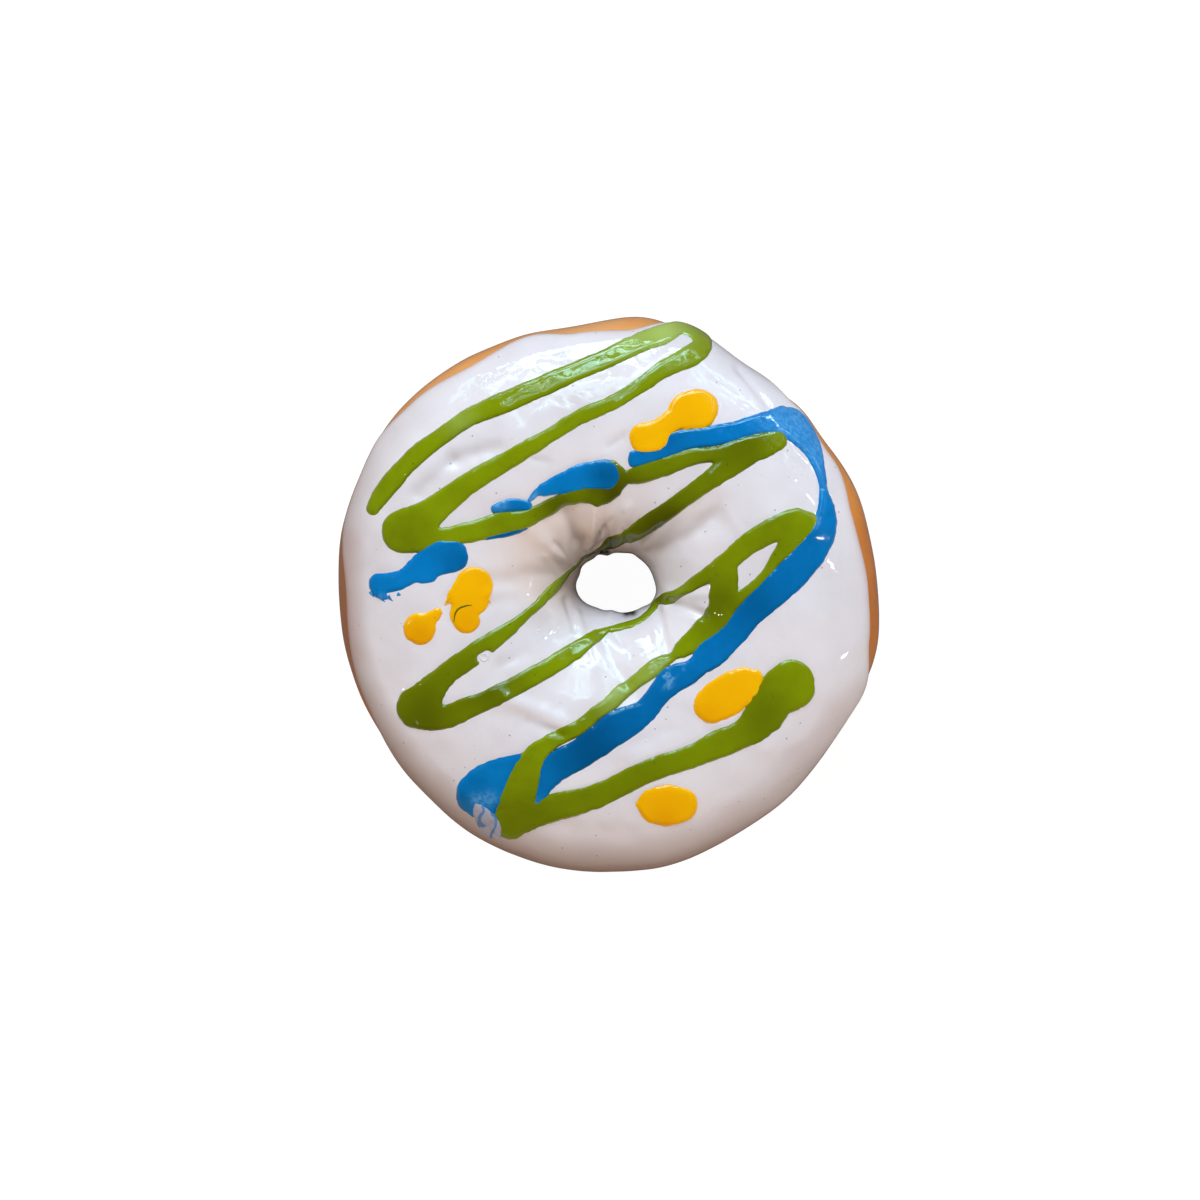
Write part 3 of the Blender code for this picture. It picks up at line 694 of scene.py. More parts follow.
def pull_rim_to_edge(mesh, name):
    """Moves the sheet's rim on to the layer's true edge, along the slope of the distance."""
    rim = [vertex for vertex in mesh.verts if vertex.is_boundary]
    angle, section = sheet_angles(np.array([vertex.co[:] for vertex in rim]))
    probe = 0.05
    longest_step = 0.3
    least_slope = 0.3
    for _ in range(4):
        points = ring_points(angle, section, ICING_THICKNESS)
        radius = np.hypot(points[:, 0] - HOLE_CENTRE[0], points[:, 1] - HOLE_CENTRE[1])
        here = layer_distance(name, angle, section)
        round_slope = (layer_distance(name, angle + probe / radius, section) - here) / probe
        up_slope = (layer_distance(name, angle, section + probe / SKIN_RADIUS) - here) / probe
        steepness = np.maximum(round_slope**2 + up_slope**2, least_slope)
        step = np.clip(-here / steepness, -longest_step, longest_step)
        angle = angle + step * round_slope / radius
        section = section + step * up_slope / SKIN_RADIUS
    for vertex, a, s in zip(rim, angle, section):
        reach = TORUS_RADIUS + TORUS_TUBE * math.cos(s)
        vertex.co = (reach * math.cos(a), reach * math.sin(a), TORUS_TUBE * math.sin(s))


def layer_shell(name):
    """One layer as a closed, domed shell."""
    mesh = spun_sheet(SHEET_FACES_ROUND, SHEET_FACES_SECTION)
    delete_outside(mesh, name, ROUGH_MARGIN)
    refine_edge(mesh, name)
    delete_outside(mesh, name, 0.0)
    drop_scraps(mesh)
    bmesh.ops.delete(mesh, geom=[v for v in mesh.verts if not v.link_faces], context="VERTS")
    pull_rim_to_edge(mesh, name)
    bottoms = set(mesh.verts)
    bmesh.ops.extrude_face_region(mesh, geom=mesh.faces[:], use_keep_orig=True)
    is_bottom = np.array([vertex in bottoms for vertex in mesh.verts])
    angle, section = sheet_angles(coordinates(mesh))
    distance = layer_distance(name, angle, section)
    base = layer_base(name, angle, section)
    raised = base + dome(distance, LAYERS[name]["height"], LAYERS[name]["shoulder"])
    move_to(mesh, ring_points(angle, section, np.where(is_bottom, base - BEDDING, raised)))
    return mesh


def layer_piece(piece_name, layer_names):
    """Joins the shells of one or more layers in one piece."""
    data = bpy.data.meshes.new(piece_name)
    joined = bmesh.new()
    for name in layer_names:
        shell = layer_shell(name)
        bmesh.ops.recalc_face_normals(shell, faces=shell.faces)
        shell.to_mesh(data)
        shell.free()
        joined.from_mesh(data)
    bpy.data.meshes.remove(data)
    piece = finished_piece(piece_name, joined)
    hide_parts("icing")
    return piece


green = layer_piece("green_drizzle", ["green"])
blue = layer_piece("blue_drizzle", ["blue_under", "blue_over"])
yellow = layer_piece("yellow_dabs", ["yellow"])

# %% [markdown]
# ## Small marks
#
# A hand-made thing has accidents, and they are what makes it look real: a drop that ran off the end
# of the blue and took some white with it, a hair of green on a yellow dab, the marks that the brush's
# bristles left, and a bubble that burst in the clear coat. Apart from the bubble each is a ribbon: a
# small grid that is bent along a line, domed, laid on top of what is there, and extruded downwards.

# %% Helpers for small marks
RIBBON_FACES_ALONG = 28
RIBBON_FACES_ACROSS = 10


def place_on_coat(x, y):
    """Angles round the ring and round its section of the places that the camera sees at x, y."""
    goal_x, goal_y = np.array(x), np.array(y)
    for _ in range(6):
        angle = np.arctan2(goal_y - HOLE_CENTRE[1], goal_x - HOLE_CENTRE[0])
        inner, outer = reaches(angle)
        off_middle = np.hypot(goal_x - HOLE_CENTRE[0], goal_y - HOLE_CENTRE[1]) - (inner + outer) / 2
        section = np.arccos(np.clip(off_middle / (outer - inner) * 2, -1, 1))
        seen_x, seen_y = seen_from_camera(ring_points(angle, section, ICING_GAP + ICING_THICKNESS))
        goal_x, goal_y = goal_x + x - seen_x, goal_y + y - seen_y
    return angle, section


def top_lift(angle, section):
    """Height over the dough of the uppermost surface, be it coat, drizzle or dab."""
    lift = coat_lift(angle, section)
    top = lift
    for name, layer in LAYERS.items():
        distance = layer_distance(name, angle, section)
        top = np.where(distance < 0, lift + dome(distance, layer["height"], layer["shoulder"]), top)
        lift = lift + LAYER_SETTLES * dome(distance, layer["height"], SETTLED_SHOULDER * layer["shoulder"])
    return top


def add_ribbon(mesh, points, height):
    """Adds a domed ribbon along a line of places with half its width at each."""
    made = bmesh.ops.create_grid(mesh, x_segments=RIBBON_FACES_ALONG, y_segments=RIBBON_FACES_ACROSS, size=1)
    faces = list({face for vertex in made["verts"] for face in vertex.link_faces})
    extruded = bmesh.ops.extrude_face_region(mesh, geom=faces, use_keep_orig=True)["geom"]
    tops = {item for item in extruded if isinstance(item, bmesh.types.BMVert)}
    both = made["verts"] + list(tops)
    flat = np.array([vertex.co[:] for vertex in both])
    path = smooth_path(points, 0.1)
    place = (flat[:, 0] + 1) / 2 * (len(path) - 1)
    x, y, width = (np.interp(place, np.arange(len(path)), path[:, k]) for k in range(3))
    slope = np.gradient(path[:, :2], axis=0)
    slope_x, slope_y = (np.interp(place, np.arange(len(path)), slope[:, k]) for k in range(2))
    steepness = np.hypot(slope_x, slope_y)
    x = x - flat[:, 1] * width * slope_y / steepness
    y = y + flat[:, 1] * width * slope_x / steepness
    angle, section = place_on_coat(x, y)
    rise = height * np.sqrt(np.maximum(0, 1 - flat[:, 1] ** 2)) * np.clip(width / width.max(), 0, 1)
    is_top = np.array([vertex in tops for vertex in both])
    lift = top_lift(angle, section) + np.where(is_top, rise, -BEDDING)
    for vertex, point in zip(both, ring_points(angle, section, lift)):
        vertex.co = point


def small_mark(name, lines, height):
    """A piece made of one or more ribbons."""
    mesh = bmesh.new()
    for points in lines:
        add_ribbon(mesh, points, height)
    mark = finished_piece(name, mesh)
    return mark


# %% Lay the small marks
drop = small_mark("marbled_drop", [
    ((-23.9, -37.6, 0.1), (-23.4, -38.5, 1.1), (-22.6, -39.9, 1.8), (-21.7, -41.3, 2.1), (-20.8, -42.6, 1.9),
     (-20.1, -43.6, 1.2), (-19.7, -44.2, 0.1)),
], 0.6)
streak = small_mark("streak_in_drop", [
    ((-22.05, -40.7, 0.08), (-22.3, -41.4, 0.24), (-22.4, -42.4, 0.2)),
], 0.04)
hairline = small_mark("green_hairline", [
    ((-27.8, -5.1, 0.05), (-27.6, -3.6, 0.15), (-26.9, -2.6, 0.17), (-25.6, -2.1, 0.15), (-24.6, -2.0, 0.05)),
], 0.05)
yellow_marks = small_mark("yellow_bristle_marks", [
    ((-29.5, -2.1, 0.08), (-29.2, -1.3, 0.16), (-28.7, -0.4, 0.2)),
    ((-21.0, -1.9, 0.08), (-21.4, -1.2, 0.2), (-21.8, -0.4, 0.3)),
], 0.06)
blue_marks = small_mark("blue_bristle_marks", [
    ((-43.2, 0.4, 0.3), (-42.8, -0.1, 0.25), (-42.4, -0.6, 0.06)),
    ((-41.4, -0.3, 0.35), (-40.9, -0.9, 0.3), (-40.3, -1.5, 0.06)),
    ((-39.8, -0.4, 0.4), (-39.2, -1.0, 0.2), (-38.8, -1.3, 0.06)),
    ((-38.0, 0.0, 0.4), (-37.4, -0.2, 0.15)),
], 0.06)

# %% Make the burst bubble
BUBBLE_PLACE = (-22.4, -11.35)
BUBBLE_RADIUS = 0.62
BUBBLE_RIM = 0.17
BUBBLE_FACES_ROUND = 32
BUBBLE_FACES_SECTION = 12

bubble_mesh = spun_torus(BUBBLE_FACES_ROUND, BUBBLE_FACES_SECTION, BUBBLE_RADIUS, BUBBLE_RIM)
angle, section = place_on_coat(np.array([BUBBLE_PLACE[0]]), np.array([BUBBLE_PLACE[1]]))
foot = Vector(ring_points(angle, section, coat_lift(angle, section))[0])
outwards = foot - Vector(ring_points(angle, section, np.zeros(1))[0])
seat = Matrix.Translation(foot) @ outwards.to_track_quat("Z", "Y").to_matrix().to_4x4()
bmesh.ops.transform(bubble_mesh, matrix=seat, verts=bubble_mesh.verts)
bubble = finished_piece("burst_bubble", bubble_mesh)

# %% [markdown]
# ## Shared surface effects
#
# Three small effects turn up in every finish here. Paint and dough are never one even colour, so a
# mottle mask varies them. A brushed clear coat has the faint waviness of orange peel, which bends
# every reflection. And tiny bubbles that burst while it dried left pinholes. Each is a node group
# that is built once and given its own values in each material.

# %% Node groups
def fill(tree, socket, value):
    """Links a node's output to an input, or gives the input a constant."""
    if isinstance(value, bpy.types.NodeSocket):
        tree.links.new(value, socket)
    else:
        socket.default_value = value


def node(tree, kind, *values, **settings):
    """Adds a node: values fill its inputs in order, settings its properties or its inputs by name."""
    made = tree.nodes.new(kind)
    for key, value in settings.items():
        name = key.replace("_", " ")
        if name in made.inputs:
            fill(tree, made.inputs[name], value)
        else:
            setattr(made, key, value)
    for socket, value in zip(made.inputs, values):
        fill(tree, socket, value)
    return made


def worked_out(tree, operation, *values, **settings):
    """Result of a Math node on a few numbers, each another node's output or a constant."""
    return node(tree, "ShaderNodeMath", *values, operation=operation, **settings).outputs[0]


def new_group(name, numbers, result):
    """A shader node group that takes a vector and named numbers and puts out one number."""
    group = bpy.data.node_groups.new(name, "ShaderNodeTree")
    group.interface.new_socket("Vector", in_out="INPUT", socket_type="NodeSocketVector")
    for number, value in numbers.items():
        socket = group.interface.new_socket(number, in_out="INPUT", socket_type="NodeSocketFloat")
        socket.default_value = value
    group.interface.new_socket(result, in_out="OUTPUT", socket_type="NodeSocketFloat")
    given = group.nodes.new("NodeGroupInput").outputs
    return group, given, group.nodes.new("NodeGroupOutput").inputs[result]


def mottle_group():
    """Soft patches from 0 to 1."""
    group, given, mask = new_group("mottle", {"Scale": 100.0, "Contrast": 2.0}, "Mask")
    patches = node(
        group, "ShaderNodeTexNoise", Vector=given["Vector"], Scale=given["Scale"], Detail=3.0, Roughness=0.55
    )
    centred = worked_out(group, "SUBTRACT", patches.outputs["Fac"], 0.5)
    stronger = worked_out(group, "MULTIPLY", centred, given["Contrast"])
    group.links.new(worked_out(group, "ADD", stronger, 0.5, use_clamp=True), mask)
    return group


def orange_peel_group():
    """Height of the clear coat's waviness, made of broad waves and fine ones."""
    group, given, height = new_group(
        "orange_peel", {"Broad Scale": 220.0, "Fine Scale": 900.0, "Fine Share": 0.25}, "Height"
    )
    broad = node(group, "ShaderNodeTexNoise", Vector=given["Vector"], Scale=given["Broad Scale"], Detail=1.5)
    fine = node(group, "ShaderNodeTexNoise", Vector=given["Vector"], Scale=given["Fine Scale"], Detail=1.0)
    blend = node(
        group, "ShaderNodeMix", data_type="FLOAT",
        Factor=given["Fine Share"], A=broad.outputs["Fac"], B=fine.outputs["Fac"],
    )
    group.links.new(blend.outputs["Result"], height)
    return group


def pinholes_group():
    """Small scattered pits: 1 in a pit and 0 elsewhere."""
    group, given, mask = new_group("pinholes", {"Scale": 260.0, "Size": 0.05, "Share": 0.3}, "Mask")
    cells = node(group, "ShaderNodeTexVoronoi", feature="F1", Vector=given["Vector"], Scale=given["Scale"])
    inside = node(
        group, "ShaderNodeMapRange", interpolation_type="SMOOTHSTEP",
        Value=cells.outputs["Distance"], From_Max=given["Size"], To_Min=1.0, To_Max=0.0,
    )
    split = node(group, "ShaderNodeSeparateColor", Color=cells.outputs["Color"])
    chosen = worked_out(group, "LESS_THAN", split.outputs["Red"], given["Share"])
    group.links.new(worked_out(group, "MULTIPLY", inside.outputs["Result"], chosen), mask)
    return group


MOTTLE = mottle_group()
ORANGE_PEEL = orange_peel_group()
PINHOLES = pinholes_group()
print("node groups:", MOTTLE.name, ORANGE_PEEL.name, PINHOLES.name)

# %% [markdown]
# ## A painted surface with a wet gloss
#
# All the colours share one build: a paint that varies a little between a few tones, under a clear
# coat as smooth as glass. The Principled shader could carry that coat as a second layer, but both
# layers would mirror the room and veil the paint. One layer with a low roughness keeps the colours
# deep, and the orange peel that bends its reflections goes into the normal. What differs are the
# tones, so one function makes the material and each piece gives its own.

# %% Material builder
def linear(red, green, blue):
    """A colour from 0 to 255, as seen on screen, turned into the linear values that a shader needs."""
    values = []
    for channel in (red, green, blue):
        c = channel / 255
        values.append(c / 12.92 if c <= 0.04045 else ((c + 0.055) / 1.055) ** 2.4)
    return (*values, 1.0)


def place_group(tree, group, position, **values):
    """Output of a node group that is placed in a material and fed with the piece's own coordinates."""
    return node(tree, "ShaderNodeGroup", node_tree=group, Vector=position, **values).outputs[0]


def mix_colours(tree, factor, first, second):
    """Blends two colours, each given as a value or as a node's output."""
    return node(tree, "ShaderNodeMix", data_type="RGBA", Factor=factor, A=first, B=second).outputs["Result"]


def painted(name, tones, pit, patch_scale, pit_share=0.3, roughness=0.025):
    """A glossy painted material and the colour that further effects can build on."""
    tone, shade, light = tones
    material = bpy.data.materials.new(name)
    material.use_nodes = True
    tree = material.node_tree
    position = node(tree, "ShaderNodeTexCoord").outputs["Object"]
    broad = place_group(tree, MOTTLE, position, Scale=patch_scale, Contrast=2.2)
    fine = place_group(tree, MOTTLE, position, Scale=patch_scale * 4, Contrast=1.6)
    pits = place_group(tree, PINHOLES, position, Scale=470.0, Size=0.11, Share=pit_share)
    colour = mix_colours(tree, broad, tone, shade)
    colour = mix_colours(tree, worked_out(tree, "MULTIPLY", fine, 0.5), colour, light)
    colour = mix_colours(tree, pits, colour, pit)
    dulling = node(tree, "ShaderNodeMapRange", Value=fine, To_Min=roughness, To_Max=roughness * 2)
    peel = place_group(tree, ORANGE_PEEL, position, Broad_Scale=190.0, Fine_Scale=1100.0, Fine_Share=0.12)
    nibs = place_group(tree, PINHOLES, position, Scale=330.0, Size=0.09, Share=0.55)
    waves = node(tree, "ShaderNodeBump", Strength=0.3, Distance=0.0004, Height=peel)
    specks = node(
        tree, "ShaderNodeBump", Strength=0.7, Distance=0.00012, Height=nibs, Normal=waves.outputs["Normal"]
    )
    shader = tree.nodes["Principled BSDF"]
    tree.links.new(colour, shader.inputs["Base Color"])
    tree.links.new(dulling.outputs["Result"], shader.inputs["Roughness"])
    tree.links.new(specks.outputs["Normal"], shader.inputs["Normal"])
    return material, colour


def tinted(material, colour, attribute_name, share, tint, patchy=False):
    """Blends a tint into a material's colour where an attribute of the piece says so."""
    tree = material.node_tree
    where = node(tree, "ShaderNodeAttribute", attribute_name=attribute_name)
    amount = worked_out(tree, "MULTIPLY", where.outputs["Fac"], share)
    if patchy:
        position = node(tree, "ShaderNodeTexCoord").outputs["Object"]
        patches = place_group(tree, MOTTLE, position, Scale=1300.0, Contrast=5.0)
        broken = worked_out(tree, "MULTIPLY_ADD", patches, 0.9, 0.35)
        amount = worked_out(tree, "MULTIPLY", amount, broken, use_clamp=True)
    colour = mix_colours(tree, amount, colour, tint)
    tree.links.new(colour, tree.nodes["Principled BSDF"].inputs["Base Color"])
    return colour


def add_places(piece, name, places):
    """Stores how near each vertex is to a few places that the camera sees: x, y, reach and strength."""
    points = np.array([vertex.co[:] for vertex in piece.data.vertices]) / MM
    x, y = seen_from_camera(points)
    total = np.zeros_like(x)
    for x0, y0, reach, strength in places:
        total += strength * np.exp(-((x - x0) ** 2 + (y - y0) ** 2) / reach**2)
    add_attribute(piece, name, np.clip(total, 0, 1))


def tinted_places(piece, material, colour, tints):
    """Tints a piece in turn: name of the tint, its places, its share, its colour, and if it is patchy."""
    for name, places, share, tint, *patchy in tints:
        if places:
            add_places(piece, name, places)
        colour = tinted(material, colour, name, share, tint, *patchy)

# %% [markdown]
# ## The finishes
#
# The white coat is a cool white with faint lavender and warm patches, and where it thins out at its
# edge the dough warms it. Shade is painted into its colour: it is browner low on the near and left
# rim and on the hole's far wall, warm on the hole's upper-left wall, and black in two painted
# shadows at the hole's edge. The dough goes from golden orange to a deeper brown, and has painted
# light on its top and painted shade on its sides.

# %% Finish of the white coat
# Painted shade: a warm tint on the upper-left wall of the hole. Each place is x, y, reach and strength.
COAT_HOLE_WALL_SHADE = (
    (-8.5, 8.5, 8, 0.9), (-11.5, 3, 6, 0.8), (-3, 12.5, 6, 0.8), (-17, 9, 7, 0.4), (4, 10, 4, 0.4),
)
# Painted shade along the left rim. Each place is x, y, reach and strength.
COAT_LEFT_RIM_SHADE = (
    (-47.4, 9, 3, 0.7), (-48, 4, 3, 0.8), (-48, -1, 3, 0.8), (-47.6, -6, 3, 0.8), (-46.8, -11, 3, 0.6),
)
# Painted shadows: two near-black spots where the hole's edge lies in deep shade. Each place is x, y, reach
# and strength.
COAT_BLACK_SHADOWS = ((-1.2, 7.5, 0.7, 1.0), (-0.2, 7.6, 0.5, 0.8), (3.2, -3.4, 0.7, 1.0), (4.4, -3.3, 0.7, 1.0))

white_tones = (linear(234, 230, 232), linear(218, 211, 212), linear(241, 239, 240))
white, white_colour = painted("white_coat_gloss", white_tones, linear(104, 90, 82), 90.0, pit_share=0.45)
# Apart from the thin edge, every tint here paints shade into the coat's colour.
tinted_places(coat, white, white_colour, (
    ("thin", None, 0.6, linear(214, 166, 146)),
    ("dim", None, 0.8, linear(140, 108, 84)),
    ("peach", COAT_HOLE_WALL_SHADE, 0.55, linear(226, 202, 182)),
    ("blush", COAT_LEFT_RIM_SHADE, 0.6, linear(190, 156, 148)),
    ("crevice", COAT_BLACK_SHADOWS, 0.95, linear(24, 20, 18)),
))
coat.data.materials.append(white)

# %% Finish of the dough
# Painted shade on the sides turned from the light, together with the fried dough's deeper colour.
DOUGH_DEEP_AND_SHADE = ((47, 2, 13, 0.8), (46, -12, 10, 0.6), (-46, -10, 16, 0.7), (0, -48, 22, 0.6))
# Painted shade on the left side.
DOUGH_LEFT_SHADE = ((-49, 8, 9, 0.8), (-50, -3, 10, 0.9), (-48, -16, 10, 0.7))
# Painted light on the top.
DOUGH_TOP_LIGHT = ((-4, 50, 12, 0.9), (-30, 40, 10, 0.5))

golden_tones = (linear(232, 148, 60), linear(212, 124, 42), linear(244, 174, 100))
golden, golden_colour = painted(
    "golden_crust_gloss", golden_tones, linear(130, 72, 26), 75.0, pit_share=0.45, roughness=0.05
)
# These tints paint shade on the sides and light on the top of the dough.
tinted_places(dough, golden, golden_colour, (
    ("deep", DOUGH_DEEP_AND_SHADE, 0.6, linear(186, 96, 30)),
    ("brown", DOUGH_LEFT_SHADE, 0.8, linear(150, 98, 66)),
    ("pale", DOUGH_TOP_LIGHT, 0.6, linear(250, 190, 128)),
))
dough.data.materials.append(golden)

# %% [markdown]
# The drizzle is thicker in some places than in others. Where it is thick its colour is deep, and
# where it was dragged out thin the white shows through. Light and shade are painted in as well:
# darker on lower edges, round the hole and on slopes that turn from the light, paler where the light
# and its reflections fall on top. All are set by a few places on the piece.

# %% Finishes of the drizzle and the dabs
# Deeper green where the paint is thick, and painted shade on edges and slopes turned from the light.
GREEN_THICK_AND_SHADE = (
    (-33, -22, 8, 0.8), (8, 15, 10, 0.8), (0, 18.5, 5, 1.0), (-35, 8.5, 5, 0.4), (-21, -18.5, 6, 0.5),
    (5, -34, 14, 0.5), (20, -3, 8, 0.5), (28, -22, 7, 0.4), (-15, -40, 7, 0.5), (22, 26, 9, 0.6),
    (-25, -10, 9, 0.4), (-10, 15, 6, 0.5), (30, 8, 5, 0.3),
)
# Painted shade: dark green round the hole and on some lower strokes.
GREEN_SHADE = (
    (1.0, 18.0, 2.8, 0.9), (-9.6, 16.4, 3.2, 0.7), (9.0, 12.2, 3.8, 0.8), (12.7, 14.3, 2.5, 0.5),
    (0.5, 9.3, 2.2, 0.9), (-3.0, 7.3, 3.0, 0.9), (-7.0, 3.9, 2.6, 0.7), (9.5, -1.2, 1.4, 0.7),
    (24.5, 26.5, 5.0, 0.4), (19.5, -1.5, 4.0, 0.4), (-20.0, -18.2, 5.0, 0.35), (-33.5, -23.0, 4.5, 0.4),
    (28.0, -23.5, 5.0, 0.4),
)
# Painted light and reflections: paler green on the top loop and where the sky is mirrored.
GREEN_SHEEN = (
    (10, 47.5, 4.5, 0.8), (3, 46, 3, 0.5), (-27, 31.5, 3, 0.25), (1, -18.5, 3.5, 0.35), (7, -14.5, 3, 0.3),
)
# Deeper blue where the paint is thick, and painted shade where it turns from the light.
BLUE_THICK_AND_SHADE = (
    (-3, -28, 10, 1.0), (12, -17, 8, 0.5), (27, -3, 9, 0.7), (0, 21, 4, 0.7), (-27, 6, 4, 0.5),
    (12, 27, 6, 0.4), (-26, -38, 3, 0.4), (-18, 11, 5, 0.8), (36, 8, 6, 0.3),
)
# Paler blue where the paint is thin and in a smear by the drop, with painted light on the upper right.
BLUE_THIN_AND_SHEEN = (
    (33, 31.5, 4.5, 0.4), (37.5, 26, 3.5, 0.3), (-20, 16.4, 1.6, 0.5), (-13.8, -38.8, 1.4, 0.9),
    (-23.6, -37.2, 1.3, 0.45), (-21.4, -36.8, 1.2, 0.45), (-40.4, -0.9, 0.8, 0.5), (-13.6, 17.4, 1.0, 0.6),
)
# Painted shade: deeper orange on the lower edge of each dab.
YELLOW_LOWER_SHADE = ((-34, -8, 3.5, 0.8), (-25.5, -5.5, 3.5, 0.7), (18, -22, 5, 0.5), (10, -41, 4, 0.6),
(14, 31, 3, 0.3))

green_tones = (linear(129, 149, 4), linear(110, 126, 3), linear(148, 168, 12))
blue_tones = (linear(4, 125, 196), linear(1, 106, 172), linear(20, 142, 214))
yellow_tones = (linear(251, 187, 3), linear(247, 174, 2), linear(254, 198, 8))
green_paint, green_colour = painted("green_gloss", green_tones, linear(60, 68, 6), 120.0)
blue_paint, blue_colour = painted("blue_gloss", blue_tones, linear(2, 56, 100), 120.0)
yellow_paint, yellow_colour = painted("yellow_gloss", yellow_tones, linear(176, 112, 2), 150.0)
tinted_places(green, green_paint, green_colour, (
    ("deep", GREEN_THICK_AND_SHADE, 0.9, linear(88, 96, 1)),
    ("olive", GREEN_SHADE, 0.8, linear(62, 62, 1)),
    ("pale", GREEN_SHEEN, 0.8, linear(186, 212, 120)),
))
tinted_places(blue, blue_paint, blue_colour, (
    ("deep", BLUE_THICK_AND_SHADE, 0.9, linear(1, 76, 124)),
    ("pale", BLUE_THIN_AND_SHEEN, 0.9, linear(116, 186, 238), True),
))
tinted_places(yellow, yellow_paint, yellow_colour, (("deep", YELLOW_LOWER_SHADE, 0.8, linear(224, 146, 1)),))
green.data.materials.append(green_paint)
blue.data.materials.append(blue_paint)
yellow.data.materials.append(yellow_paint)

# %% [markdown]
# The drop is a marbled grey and white with veins of blue. Its veins are a wave pattern that noise
# bends. The other marks share the paint that they were made with.

# %% Finish of the small marks
marbled_tones = (linear(168, 164, 172), linear(142, 146, 162), linear(196, 198, 208))
marbled, marbled_colour = painted("marbled_gloss", marbled_tones, linear(60, 80, 120), 300.0, pit_share=0.2)
marble_tree = marbled.node_tree
marble_place = node(marble_tree, "ShaderNodeTexCoord").outputs["Object"]
veins = node(
    marble_tree, "ShaderNodeTexWave",
    Vector=marble_place, Scale=150.0, Distortion=7.0, Detail=2.0, Detail_Scale=1.4,
)
vein_edge = node(
    marble_tree, "ShaderNodeMapRange", interpolation_type="SMOOTHSTEP",
    Value=veins.outputs["Fac"], From_Min=0.62, From_Max=0.95,
)
marbled_colour = mix_colours(marble_tree, vein_edge.outputs["Result"], marbled_colour, linear(92, 130, 178))
marble_tree.links.new(marbled_colour, marble_tree.nodes["Principled BSDF"].inputs["Base Color"])

add_places(streak, "deep", ((-22.2, -41.5, 6, 1.5),))
add_places(hairline, "deep", ((-26.5, -3.5, 9, 1.0),))
add_places(blue_marks, "pale", ((-41, -0.8, 6, 0.35),))
for mark, finish in (
    (drop, marbled), (streak, blue_paint), (hairline, green_paint), (yellow_marks, yellow_paint),
    (blue_marks, blue_paint), (bubble, white),
):
    mark.data.materials.append(finish)

# %% [markdown]
# ## Floor and light
#
# The floor is plain and pale. Paper that is lit well enough to look white would also light the
# doughnut from below and wash out its darker rim, so the floor shows its white to the camera alone,
# and is a dim warm grey for every other ray.

# %% Floor
FLOOR_HALF_WIDTH = 1500.0
FLOOR_DROP = 0.3
FLOOR_WHITE = 0.97
FLOOR_BOUNCE = (0.22, 0.18, 0.15, 1.0)
FLOOR_SEEN = (0.12, 0.12, 0.12, 1.0)
floor_mesh = bmesh.new()
bmesh.ops.create_grid(floor_mesh, x_segments=1, y_segments=1, size=FLOOR_HALF_WIDTH * MM)
bmesh.ops.translate(floor_mesh, vec=(0, 0, -FLOOR_DROP * MM), verts=floor_mesh.verts)
floor_data = bpy.data.meshes.new("floor")
floor_mesh.to_mesh(floor_data)
floor_mesh.free()
floor = bpy.data.objects.new("floor", floor_data)
bpy.context.scene.collection.objects.link(floor)

paper = bpy.data.materials.new("floor_paper")
paper.use_nodes = True
paper_tree = paper.node_tree
paper_shader = paper_tree.nodes["Principled BSDF"]
paper_shader.inputs["Roughness"].default_value = 0.9
paper_shader.inputs["Specular IOR Level"].default_value = 0.0
paper_shader.inputs["Emission Color"].default_value = (1.0, 1.0, 1.0, 1.0)
to_camera = node(paper_tree, "ShaderNodeLightPath").outputs["Is Camera Ray"]
paper_glow = worked_out(paper_tree, "MULTIPLY", to_camera, FLOOR_WHITE)
paper_colour = mix_colours(paper_tree, to_camera, FLOOR_BOUNCE, FLOOR_SEEN)
paper_tree.links.new(paper_colour, paper_shader.inputs["Base Color"])
paper_tree.links.new(paper_glow, paper_shader.inputs["Emission Strength"])
floor.data.materials.append(paper)

# %% [markdown]
# ## The room
#
# A gloss coat mirrors whatever is overhead, and a bright ceiling would lie over the colours like a
# veil. A photographer keeps it off with a black card round the lens or with a polarising filter.
# Here the world does that: rays that light the paint see a soft room, bright and cool beyond the top
# of the picture, dim and warm on the near side, and rays that make reflections see a dark one.

# %% Soft room
ROOM_AT_LEVEL = (0.19, 0.135, 0.09)
ROOM_SLOPES = ((0.05, 0.13, 0.05), (0.06, 0.21, 0.05), (0.08, 0.31, 0.045))

room = bpy.data.worlds.new("room")
bpy.context.scene.world = room
room.use_nodes = True
room_nodes = room.node_tree
ray = node(room_nodes, "ShaderNodeTexCoord").outputs["Generated"]


def along(vector):
    """How far the direction of a ray runs along a vector."""
    return node(room_nodes, "ShaderNodeVectorMath", ray, vector, operation="DOT_PRODUCT").outputs["Value"]


soft_room = node(room_nodes, "ShaderNodeCombineColor")
for channel, level, slopes in zip(soft_room.inputs, ROOM_AT_LEVEL, ROOM_SLOPES):
    brightness = worked_out(room_nodes, "ADD", along(slopes), level)
    room_nodes.links.new(worked_out(room_nodes, "MAXIMUM", brightness, 0.0), channel)

# %% [markdown]
# In the mirrored room a few parts of the sky are bright, as between the leaves and twigs of a tree.
# Noise cuts the gaps, and a thin band of a second noise draws the lines. Both fade at the part's edge.

# %% Mirrored sky
MIRRORED_ROOM = (0.020, 0.024, 0.030, 1.0)
MIRRORED_SKY = (0.50, 0.95, 1.0, 1.0)
